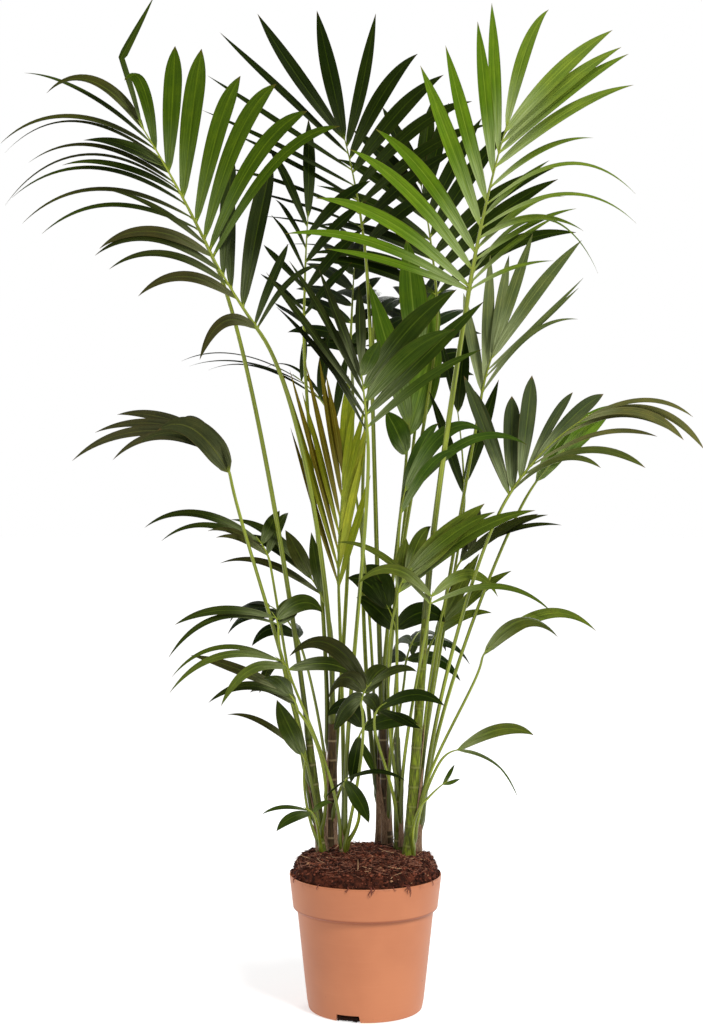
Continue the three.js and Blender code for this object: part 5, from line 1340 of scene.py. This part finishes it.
class Tree:
    """A material's nodes, put down one after the other."""

    def __init__(self, name):
        self.material = bpy.data.materials.new(name)
        self.material.use_nodes = True
        self.nodes = self.material.node_tree.nodes
        self.links = self.material.node_tree.links
        self.nodes.clear()

    def put(self, kind, inputs=None, **props):
        node = self.nodes.new("ShaderNode" + kind)
        for key, value in props.items():
            setattr(node, key, value)
        for key, value in (inputs or {}).items():
            socket = node.inputs[key]
            if isinstance(value, bpy.types.NodeSocket):
                self.links.new(value, socket)
            else:
                socket.default_value = value
        return node

    def math(self, operation, a, b=0.0, c=0.0):
        return self.put("Math", {0: a, 1: b, 2: c}, operation=operation).outputs[0]

    def times(self, a, b):
        return self.math("MULTIPLY", a, b)

    def plus(self, a, b):
        return self.math("ADD", a, b)

    def absolute(self, a):
        return self.math("ABSOLUTE", a)

    def mix(self, factor, a, b, blend="MIX"):
        node = self.put(
            "Mix", {0: factor, 6: a, 7: b}, data_type="RGBA", blend_type=blend, clamp_factor=True
        )
        return node.outputs[2]

    def wash(self, colour, where, strength, tint):
        """A tint in display values, laid over the colour at a strength."""
        return self.mix(self.times(where, strength), colour, linear(tint))

    def blend(self, where, tint, second):
        return self.mix(where, linear(tint), linear(second))

    def step(self, value, low, high, to_low=0.0, to_high=1.0):
        node = self.put(
            "MapRange", {0: value, 1: low, 2: high, 3: to_low, 4: to_high},
            interpolation_type="SMOOTHSTEP",
        )
        return node.outputs[0]

    def noise(self, vector, scale, detail=4.0, rough=0.55):
        node = self.put(
            "TexNoise", {"Vector": vector, "Scale": scale, "Detail": detail, "Roughness": rough}
        )
        return node.outputs[0]

    def vector(self, x, y):
        return self.put("CombineXYZ", {0: x, 1: y, 2: 0.0}).outputs[0]

    def grain(self, across, along_it, scale, detail=4.0):
        """Noise on the map. across and along_it are a place and how far to stretch it."""
        return self.noise(self.vector(self.times(*across), self.times(*along_it)), scale, detail)

    def bands(self, value, colours):
        """Steps of even length, a colour each."""
        node = self.put("ValToRGB", {0: value})
        ramp = node.color_ramp
        ramp.interpolation = "CONSTANT"
        while len(ramp.elements) < len(colours):
            ramp.elements.new(1.0)
        for k, (element, colour) in enumerate(zip(ramp.elements, colours)):
            element.position = k / len(colours)
            element.color = linear(colour)
        return node.outputs[0]

    def place(self):
        """The map's u and v."""
        uv = self.put("UVMap", uv_map="OFBake").outputs[0]
        split = self.put("SeparateXYZ", {0: uv})
        return split.outputs[0], split.outputs[1]

    def object_place(self):
        return self.put("TexCoord").outputs["Object"]

    def finish(self, colour, rough, height=None, bump=0.3, depth=0.001, specular=0.5, shine=None):
        shader = self.put("BsdfPrincipled", {"Base Color": colour, "Roughness": rough})
        shader.inputs["Specular IOR Level"].default_value = specular
        if shine:
            shader.inputs["Specular Tint"].default_value = shine
        if height is not None:
            bumped = self.put("Bump", {"Strength": bump, "Distance": depth, "Height": height})
            self.links.new(bumped.outputs[0], shader.inputs["Normal"])
        out = self.put("OutputMaterial")
        self.links.new(shader.outputs[0], out.inputs[0])
        return self.material


VEIN_WAVES = 20.4  # radians of the sine that draws the veins, from midrib to edge
FINE_WAVES = 71.0  # and of the finer one
VEIN_SHOW = 0.36  # how strong the veins are
RIB_HALF = 0.085  # half the midrib, per half width
RIB_SHOW = 0.3  # how strong it is
BASE_SHEEN = (172, 182, 132)  # painted silvery sheen, in pale stripes, near a leaflet's base
SHEEN_FROM, SHEEN_TO = 0.06, 0.5  # of the length, where they fade
DRY_FROM, DRY_TO = 0.965, 1.03  # of the length, where the tip dries
EDGE_FROM = 0.93  # of the half width, where the edge dries
LEAF_SHINE = (0.75, 0.85, 0.4, 1)
EDGE_TO_EDGE = 2.38  # from the run of a strip to -1 .. 1 over the blade, without its margins


def leaf_material(name, tops, unders, rib, tip, gloss, silver):
    """Four upper and four lower tints in strips of the map, with ribs, veins, a dry tip and a
    painted silvery sheen near the base.
    """
    tree = Tree(name)
    u, v = tree.place()
    tint = tree.bands(u, [tint for pair in zip(tops, unders) for tint in pair])
    strip = tree.times(u, float(BANDS))
    run = tree.math("FRACT", strip)
    across = tree.absolute(tree.math("MULTIPLY_ADD", run, EDGE_TO_EDGE, -EDGE_TO_EDGE / 2))
    streak = tree.grain((strip, 9.0), (v, 1.3), 2.2, 3.0)
    patch = tree.noise(tree.vector(strip, tree.times(v, 5.0)), 1.7, 3.0)
    vein = tree.step(tree.absolute(tree.math("SINE", tree.times(across, VEIN_WAVES))), 0.42, 0.0)
    fine = tree.absolute(tree.math("SINE", tree.times(across, FINE_WAVES)))
    midrib = tree.step(across, RIB_HALF, 0.02)
    dim = tree.mix(tree.step(streak, 0.3, 0.7), (0.72, 0.74, 0.72, 1), (1.22, 1.2, 1.12, 1))
    colour = tree.mix(1.0, tint, dim, "MULTIPLY")
    warm = tree.mix(tree.step(patch, 0.35, 0.75), (0.86, 0.9, 0.92, 1), (1.14, 1.08, 0.96, 1))
    colour = tree.mix(1.0, colour, warm, "MULTIPLY")
    pale = tree.mix(1.0, colour, (1.75, 1.65, 1.5, 1), "MULTIPLY")
    colour = tree.mix(tree.times(vein, VEIN_SHOW), colour, pale)
    # painted sheen: pale silvery stripes that fade along the leaflet from its base
    sheen_stripes = tree.math("MULTIPLY_ADD", tree.step(streak, 0.4, 0.62), 0.7, 0.3)
    painted_sheen = tree.times(tree.step(v, SHEEN_TO, SHEEN_FROM), sheen_stripes)
    colour = tree.wash(colour, painted_sheen, silver, BASE_SHEEN)
    colour = tree.wash(colour, midrib, RIB_SHOW, rib)
    colour = tree.wash(colour, tree.step(v, 0.1, 0.0), 0.75, rib)
    ragged = tree.math("MULTIPLY_ADD", streak, 0.06, v)
    colour = tree.wash(colour, tree.step(ragged, DRY_FROM, DRY_TO), 0.8, tip)
    colour = tree.wash(colour, tree.step(across, EDGE_FROM, 1.0), 0.35, tip)
    rough = tree.step(patch, 0.2, 0.8, gloss - 0.06, gloss + 0.1)
    height = tree.math("MULTIPLY_ADD", vein, 0.6, tree.times(fine, 0.25))
    height = tree.plus(height, tree.times(midrib, 0.8))
    return tree.finish(colour, rough, height, bump=0.35, depth=0.0006, specular=0.05,
                       shine=LEAF_SHINE)


def stalk_material(name, tint, pale, shade_tint, gloss=0.3):
    tree = Tree(name)
    u, v = tree.place()
    streak = tree.grain((u, 11.0), (v, 2.0), 2.4)
    fleck = tree.grain((u, 5.0), (v, 70.0), 2.0)
    colour = tree.blend(tree.step(streak, 0.3, 0.72), tint, pale)
    turned = tree.math("FRACT", tree.plus(u, 0.5))
    furrow_shade = tree.step(tree.absolute(tree.math("SUBTRACT", turned, 0.5)), 0.1, 0.02)
    # painted shade along the stalk's furrow
    colour = tree.wash(colour, furrow_shade, 0.5, shade_tint)
    # painted shade: darker towards the stalk's foot
    colour = tree.wash(colour, tree.step(v, 0.4, 0.0), 0.7, shade_tint)
    colour = tree.wash(colour, tree.step(fleck, 0.66, 0.8), 0.45, (92, 84, 40))
    rough = tree.step(streak, 0.2, 0.8, gloss - 0.05, gloss + 0.12)
    return tree.finish(colour, rough, streak, bump=0.15, depth=0.0005, specular=0.4)


SCAR_AT = 0.53  # of the way from ring to ring


def cane_material(name, tint, second, ring, patchy, scars):
    tree = Tree(name)
    u, v = tree.place()
    height = tree.math("MULTIPLY_ADD", v, float(CANE_SPAN), -float(CANE_BURIED))
    turns = tree.math("FRACT", tree.math("DIVIDE", height, float(RING_EVERY)))
    wobble = tree.grain((u, 4.0), (v, 9.0), 2.0)
    crooked = tree.math("MULTIPLY_ADD", wobble, 0.06, turns)
    apart = tree.absolute(tree.math("SUBTRACT", crooked, SCAR_AT))
    streak = tree.grain((u, 16.0), (v, 7.0), 3.0, 6.0)
    blotch = tree.grain((u, 3.0), (v, 14.0), 2.0, 5.0)
    colour = tree.blend(tree.step(streak, 0.32, 0.7), tint, second)
    colour = tree.wash(colour, tree.step(blotch, 0.5, 0.64), patchy, (74, 54, 36))
    colour = tree.wash(colour, tree.step(apart, 0.16, 0.07), scars * 0.5, (58, 44, 28))
    colour = tree.wash(colour, tree.step(apart, 0.075, 0.02), scars, ring)
    rough = tree.step(streak, 0.2, 0.8, 0.38, 0.62)
    bumps = tree.plus(tree.times(streak, 0.7), tree.times(blotch, 0.5))
    return tree.finish(colour, rough, bumps, bump=0.4, depth=0.001, specular=0.2)


def sheath_material():
    tree = Tree("dry_sheath")
    u, v = tree.place()
    fibre = tree.grain((u, 22.0), (v, 2.6), 3.2, 6.0)
    patch = tree.grain((u, 2.0), (v, 5.0), 2.4)
    colour = tree.blend(tree.step(fibre, 0.3, 0.68), (64, 42, 30), (172, 142, 112))
    colour = tree.wash(colour, tree.step(patch, 0.45, 0.7), 0.55, (74, 44, 30))
    rough = tree.step(fibre, 0.2, 0.8, 0.6, 0.85)
    return tree.finish(colour, rough, fibre, bump=0.6, depth=0.001, specular=0.15)


def compost_material():
    tree = Tree("moist_compost")
    spot = tree.object_place()
    coarse = tree.noise(spot, 90.0, 6.0, 0.65)
    fine = tree.noise(spot, 480.0, 5.0, 0.7)
    colour = tree.blend(tree.step(coarse, 0.36, 0.66), (32, 14, 8), (92, 46, 30))
    colour = tree.wash(colour, tree.step(fine, 0.6, 0.72), 0.6, (132, 88, 62))
    bumps = tree.plus(tree.times(coarse, 0.8), tree.times(fine, 0.5))
    rough = tree.step(fine, 0.3, 0.7, 0.75, 0.95)
    return tree.finish(colour, rough, bumps, bump=0.9, depth=0.003, specular=0.1)


def crumb_material(name, low, high):
    tree = Tree(name)
    spot = tree.object_place()
    grain = tree.noise(spot, 260.0, 5.0, 0.65)
    patch = tree.noise(spot, 70.0, 3.0)
    colour = tree.blend(tree.step(grain, 0.34, 0.66), low, high)
    dull = tree.mix(tree.step(patch, 0.35, 0.65), (0.62, 0.6, 0.6, 1), (1.25, 1.2, 1.15, 1))
    colour = tree.mix(1.0, colour, dull, "MULTIPLY")
    rough = tree.step(grain, 0.2, 0.8, 0.72, 0.95)
    return tree.finish(colour, rough, grain, bump=0.7, depth=0.001, specular=0.1)


CREASE = BAND_FOOT * MM  # height of the crease under the pot's band, where a line of shade is painted


def pot_material():
    """Matt plastic with faint clouds, a few specks, dirt at the rim, and painted shade as a dark
    line in the crease under the band.
    """
    tree = Tree("terracotta_plastic")
    spot = tree.object_place()
    cloud = tree.noise(spot, 7.0, 3.0)
    grain = tree.noise(spot, 900.0, 3.0, 0.6)
    stretched = tree.put("Mapping", {"Vector": spot, "Scale": (1.0, 1.0, 14.0)}).outputs[0]
    drawn = tree.noise(stretched, 16.0)
    colour = tree.blend(tree.step(cloud, 0.3, 0.7), (176, 108, 72), (187, 118, 80))
    colour = tree.wash(colour, tree.step(drawn, 0.5, 0.75), 0.05, (206, 140, 102))
    specks = tree.put("TexVoronoi", {"Vector": spot, "Scale": 34.0}, feature="F1").outputs[0]
    chance = tree.noise(spot, 11.0, 2.0)
    rare = tree.times(tree.step(specks, 0.055, 0.03), tree.step(chance, 0.6, 0.64))
    colour = tree.wash(colour, rare, 0.8, (84, 44, 28))
    height = tree.put("SeparateXYZ", {0: spot}).outputs[2]
    grime = tree.noise(spot, 60.0, 5.0, 0.7)
    soiled = tree.times(tree.step(height, 0.196, 0.212), tree.step(grime, 0.5, 0.7))
    colour = tree.wash(colour, soiled, 0.5, (112, 62, 42))
    # painted shade: a dark line in the crease under the band, where the band's shadow falls
    crease = tree.times(tree.step(height, CREASE - 0.007, CREASE - 0.001),
                        tree.step(height, CREASE + 0.0035, CREASE + 0.001))
    colour = tree.wash(colour, crease, 0.6, (122, 58, 36))
    bumps = tree.plus(tree.times(grain, 0.5), tree.times(drawn, 0.06))
    rough = tree.step(cloud, 0.2, 0.8, 0.4, 0.48)
    return tree.finish(colour, rough, bumps, bump=0.1, depth=0.0005, specular=0.35)


def straw_material(name, low, high):
    tree = Tree(name)
    u, v = tree.place()
    grain = tree.grain((u, 40.0), (v, 6.0), 2.0)
    colour = tree.blend(tree.step(grain, 0.3, 0.7), low, high)
    rough = tree.step(grain, 0.2, 0.8, 0.6, 0.8)
    return tree.finish(colour, rough, grain, bump=0.3, depth=0.0004)


FLOOR_GLOW = 0.55  # a lit studio sweep, so that the shadow on it stays faint


def floor_material():
    tree = Tree("pale_floor")
    cloud = tree.noise(tree.object_place(), 0.8, 2.0)
    colour = tree.mix(tree.step(cloud, 0.3, 0.7), (0.6, 0.6, 0.6, 1), (0.64, 0.64, 0.64, 1))
    made = tree.finish(colour, tree.step(cloud, 0.3, 0.7, 0.75, 0.85), specular=0.1)
    shader = next(node for node in tree.nodes if node.type == "BSDF_PRINCIPLED")
    shader.inputs["Emission Color"].default_value = (1, 1, 1, 1)
    shader.inputs["Emission Strength"].default_value = FLOOR_GLOW
    return made


# Four upper and four lower tints of a tone: the first two for the left row, the last two for
# the right row of leaflets. Then the rib, the dry tip, the roughness, and how strong the
# painted silvery sheen at the leaflets' bases is.
PALETTES = {
    "dark": (
        [(14, 26, 1), (22, 38, 2), (17, 31, 2), (28, 45, 3)],
        [(27, 39, 7), (21, 32, 5), (33, 46, 9), (26, 39, 7)],
        (78, 98, 18), (84, 62, 28), 0.36, 0.07,
    ),
    "mid": (
        [(44, 66, 5), (38, 59, 4), (50, 74, 6), (42, 64, 5)],
        [(54, 72, 18), (48, 64, 15), (60, 78, 20), (52, 69, 17)],
        (106, 130, 30), (104, 84, 34), 0.42, 0.2,
    ),
    "bright": (
        [(62, 92, 4), (72, 104, 6), (66, 96, 5), (80, 112, 9)],
        [(84, 110, 30), (78, 104, 26), (92, 118, 34), (82, 108, 28)],
        (142, 162, 56), (120, 100, 44), 0.38, 0.4,
    ),
    "spear": (
        [(112, 116, 10), (84, 84, 8), (142, 150, 30), (116, 130, 20)],
        [(96, 84, 20), (110, 112, 20), (150, 156, 50), (128, 138, 34)],
        (168, 172, 66), (104, 70, 22), 0.38, 0.12,
    ),
    "silver": (
        [(66, 78, 30), (92, 104, 56), (62, 76, 22), (84, 96, 44)],
        [(96, 106, 66), (106, 116, 76), (90, 102, 58), (102, 112, 70)],
        (146, 154, 86), (96, 86, 46), 0.34, 0.85,
    ),
    "dusky": (
        [(34, 44, 17), (40, 48, 20), (44, 50, 24), (34, 46, 17)],
        [(58, 58, 36), (52, 56, 32), (66, 62, 42), (44, 54, 26)],
        (104, 108, 40), (98, 72, 42), 0.46, 0.1,
    ),
}
OLIVE = (
    [(30, 46, 6), (44, 58, 12), (26, 42, 4), (42, 62, 9)],
    [(54, 54, 25), (42, 52, 15), (46, 58, 15), (60, 64, 25)],
    (96, 116, 34), (98, 76, 44), 0.36, 0.35,
)
LIGHT_OLIVE = (
    [(42, 64, 6), (66, 92, 12), (78, 102, 16), (54, 78, 7)],
    [(78, 88, 30), (64, 76, 20), (86, 100, 32), (70, 86, 22)],
    (130, 152, 46), (112, 88, 50), 0.34, 0.45,
)
SHADED = (
    [(22, 34, 5), (32, 44, 9), (26, 40, 6), (36, 52, 9)],
    [(46, 48, 20), (36, 44, 14), (42, 50, 16), (50, 56, 20)],
    (84, 102, 28), (88, 68, 38), 0.36, 0.2,
)
# fronds with tints of their own, as the brown, half-shaded left rows of the high left one
OWN_TINTS = {
    "left_high": (
        [(38, 56, 6), (54, 56, 18), (56, 78, 2), (66, 90, 3)],
        [(58, 60, 24), (48, 62, 16), (60, 82, 12), (68, 90, 16)],
        (116, 138, 26), (92, 70, 34), 0.42, 0.2,
    ),
    "left_mid": (
        [(40, 42, 15), (28, 38, 8), (18, 31, 3), (24, 38, 5)],
        [(54, 52, 26), (40, 46, 17), (34, 44, 16), (38, 50, 18)],
        (88, 104, 28), (88, 66, 34), 0.42, 0.2,
    ),
    "right_high": (
        [(72, 104, 5), (82, 116, 8), (80, 106, 12), (98, 122, 22)],
        [(90, 118, 26), (82, 110, 20), (98, 118, 38), (92, 114, 30)],
        (142, 160, 56), (122, 98, 56), 0.36, 0.65,
    ),
    "front_mid": (
        [(18, 28, 4), (28, 38, 7), (34, 54, 5), (48, 70, 8)],
        [(32, 38, 15), (36, 44, 15), (44, 60, 14), (54, 72, 18)],
        (96, 118, 34), (84, 66, 32), 0.34, 0.4,
    ),
    "right_low": (
        [(36, 50, 20), (46, 58, 28), (76, 92, 26), (60, 72, 20)],
        [(52, 62, 36), (60, 70, 42), (92, 92, 52), (76, 84, 38)],
        (104, 122, 44), (118, 92, 60), 0.32, 0.45,
    ),
    "left_low": OLIVE, "left_broad": OLIVE, "low_left": OLIVE, "left_shade": OLIVE,
    "low_left_c": OLIVE, "mid_right_b": SHADED, "center_low": SHADED,
    "curl": (
        [(30, 56, 8), (44, 74, 12), (36, 62, 8), (54, 84, 14)],
        [(50, 70, 22), (44, 64, 18), (60, 84, 26), (52, 74, 20)],
        (110, 138, 42), (96, 76, 40), 0.32, 0.5,
    ),
    "low_left_b": (
        [(46, 68, 8), (66, 90, 12), (30, 46, 7), (24, 36, 5)],
        [(76, 88, 32), (64, 76, 22), (44, 54, 18), (38, 48, 14)],
        (120, 142, 42), (110, 86, 48), 0.34, 0.4,
    ),
    "back_broad": (
        [(42, 68, 4), (58, 88, 6), (70, 102, 9), (50, 76, 5)],
        [(62, 86, 18), (52, 74, 13), (84, 110, 32), (70, 92, 24)],
        (136, 158, 56), (112, 96, 44), 0.36, 0.35,
    ),
    "mid_right": LIGHT_OLIVE, "mid_arch": LIGHT_OLIVE,
    "mid_fan": LIGHT_OLIVE, "right_bifid": LIGHT_OLIVE, "right_small": LIGHT_OLIVE,
}


def build_fronds():
    chance = random.Random(41)
    stalks = stalk_material("leaf_stalk", (62, 76, 4), (158, 170, 48), (46, 52, 8))
    for plant in grow():
        leaf = plant["leaf"]
        name = leaf["name"]
        material = leaf_material("leaflets_" + name, *OWN_TINTS.get(name, PALETTES[leaf["tone"]]))
        blade, rib = Shape(), Shape()
        for kept in plant["leaves"]:
            add_leaflet(blade, kept, chance)
        add_rib(rib, plant)
        slot = "leaf_" + leaf["tone"]
        blade.piece("leaflets_" + name, material, slot, ["frond_" + name], sharp=75)
        stood = ["stalk_" + name] if leaf["own"] else ["frond_" + name]
        rib.piece("rib_" + name, stalks, "stalk", stood)


# two tints and the scars' tint, how patchy it is and how strong its scars are
CANE_LOOKS = {
    "green": ((48, 56, 8), (124, 138, 32), (132, 136, 70), 0.4, 0.4),
    "olive": ((48, 54, 12), (112, 124, 44), (148, 140, 94), 0.6, 0.6),
    "brown": ((34, 22, 12), (84, 66, 36), (140, 122, 90), 0.6, 0.7),
}


def build_canes():
    chance = random.Random(7)
    looks = {key: cane_material(key + "_cane", *look) for key, look in CANE_LOOKS.items()}
    for name, stem in CANES.items():
        shape = Shape()
        add_cane(shape, stem, chance)
        shape.piece("stem_" + name, looks[stem["look"]], "cane_" + stem["look"], ["cane_" + name])
    sheaths = Shape()
    for sheath in SHEATHS:
        add_sheath(sheaths, sheath, chance)
    sheaths.piece("dry_sheaths", sheath_material(), "cane_brown", sharp=60)


# name, number, least and greatest size in mm, two tints
CRUMBS = [
    ("crumbs_dark", 1700, (1.1, 3.6), (28, 13, 9), (78, 40, 28)),
    ("crumbs_red", 1500, (0.8, 3.0), (66, 33, 23), (132, 76, 56)),
    ("crumbs_pale", 150, (0.7, 2.1), (134, 90, 62), (190, 148, 112)),
]
SMALL_MORE = 2.2  # how far the small crumbs outnumber the large ones
# name, number, lengths and radii in mm, two tints
FIBRES = [
    ("coir_fibres", 900, (5, 26), (0.2, 0.42), (104, 56, 40), (168, 114, 86)),
    ("straw", 34, (9, 34), (0.3, 0.7), (150, 106, 70), (206, 168, 126)),
]


def build_compost():
    chance = random.Random(23)
    shape = Shape()
    add_compost(shape)
    shape.piece("compost", compost_material(), "soil", ["soil"])
    for name, count, sizes, low, high in CRUMBS:
        shape = Shape()
        for _ in range(count):
            size = mix(*sizes, chance.random() ** SMALL_MORE)
            spot = on_heap(chance, INNER_RIM - 2.5) + UP * size * 0.25
            add_crumb(shape, spot, size, chance, chance.uniform(0.5, 1))
        shape.piece(name, crumb_material(name, low, high), "soil", sharp=50)
    for name, count, lengths, radii, low, high in FIBRES:
        shape = Shape()
        for _ in range(count):
            spot = on_heap(chance, INNER_RIM - 7)
            add_fibre(shape, spot, chance.uniform(*lengths), chance.uniform(*radii), chance)
        shape.piece(name, straw_material(name, low, high), "soil")
    shape = Shape()
    for heading, drop in RIM_ROOTS:
        add_rim_root(shape, heading, drop, chance)
    shape.piece("rim_roots", straw_material("rim_roots", (70, 26, 14), (122, 56, 34)), "soil")
    shape = Shape()
    for out, side in notch_ways():
        add_notch_shade_plug(shape, out, side, chance)
    # painted shade: the dark tints of this compost stand for the shadow inside the notches
    shape.piece("drain_notch_shade", crumb_material("notch_shade_compost", (14, 6, 3), (44, 22, 13)), "soil")


# ---- stage -------------------------------------------------------------------------------
CAMERA_PLACE = (-0.022, -2.62, 0.782)
CAMERA_FOCUS = 1655  # focal length in pixels of a picture PICTURE_HIGH high
PICTURE_HIGH = 1024
SENSOR = 36
WORLD_LIGHT = 0.38  # the backdrop is white, and gives the plant less light than the lamps do
SUN_POWER = 2.1
SUN_WIDTH = 14  # degrees
SUN_WAY = (-0.5, 0.75, -1.0)
LAMPS_AIM = (0, 0, 0.85)
# name, place, size, power
LAMPS = [
    ("key", (1.9, -2.3, 2.3), (1.2, 1.2), 26),
    ("fill", (-2.2, -1.6, 1.6), (1.2, 1.6), 9),
    ("rim", (0.9, 2.6, 2.0), (1.4, 1.0), 28),
    ("back", (-1.9, 2.3, 1.5), (1.4, 1.2), 22),
]


def lamp(name, kind, power, way):
    """A lamp that shines along a way."""
    data = bpy.data.lights.new(name, kind)
    data.energy = power
    made = stand(name, data)
    made.rotation_euler = way.to_track_quat("-Z", "Y").to_euler()
    return made


def build_stage():
    bpy.ops.mesh.primitive_plane_add(size=300, location=(0, 0, -0.0005))
    floor = bpy.context.object
    floor.name = "floor"
    floor.data.materials.append(floor_material())
    world = bpy.data.worlds.new("studio")
    world.use_nodes = True
    nodes, links = world.node_tree.nodes, world.node_tree.links
    background = nodes["Background"]
    background.inputs[0].default_value = (1.0, 1.0, 1.0, 1)
    seen = nodes.new("ShaderNodeLightPath")
    level = nodes.new("ShaderNodeMapRange")
    level.inputs[3].default_value = WORLD_LIGHT
    level.inputs[4].default_value = 1.0
    links.new(seen.outputs["Is Camera Ray"], level.inputs[0])
    links.new(level.outputs[0], background.inputs[1])
    bpy.context.scene.world = world
    lamp("sun", "SUN", SUN_POWER, Vector(SUN_WAY)).data.angle = math.radians(SUN_WIDTH)
    for name, place, size, power in LAMPS:
        made = lamp(name, "AREA", power, Vector(LAMPS_AIM) - Vector(place))
        made.location = place
        made.data.shape = "RECTANGLE"
        made.data.size, made.data.size_y = size
    data = bpy.data.cameras.new("camera")
    data.sensor_width = SENSOR
    data.lens = SENSOR * CAMERA_FOCUS / PICTURE_HIGH
    data.clip_end = 50
    camera = stand("camera", data)
    camera.location = CAMERA_PLACE
    camera.rotation_euler = (math.radians(90), 0, 0)
    scene = bpy.context.scene
    scene.camera = camera
    scene.view_settings.view_transform = "Standard"
    scene.view_settings.look = "None"
    scene.view_settings.exposure = 0
    scene.view_settings.gamma = 1


build_stage()
build_fronds()
build_canes()
build_compost()
build_pot()
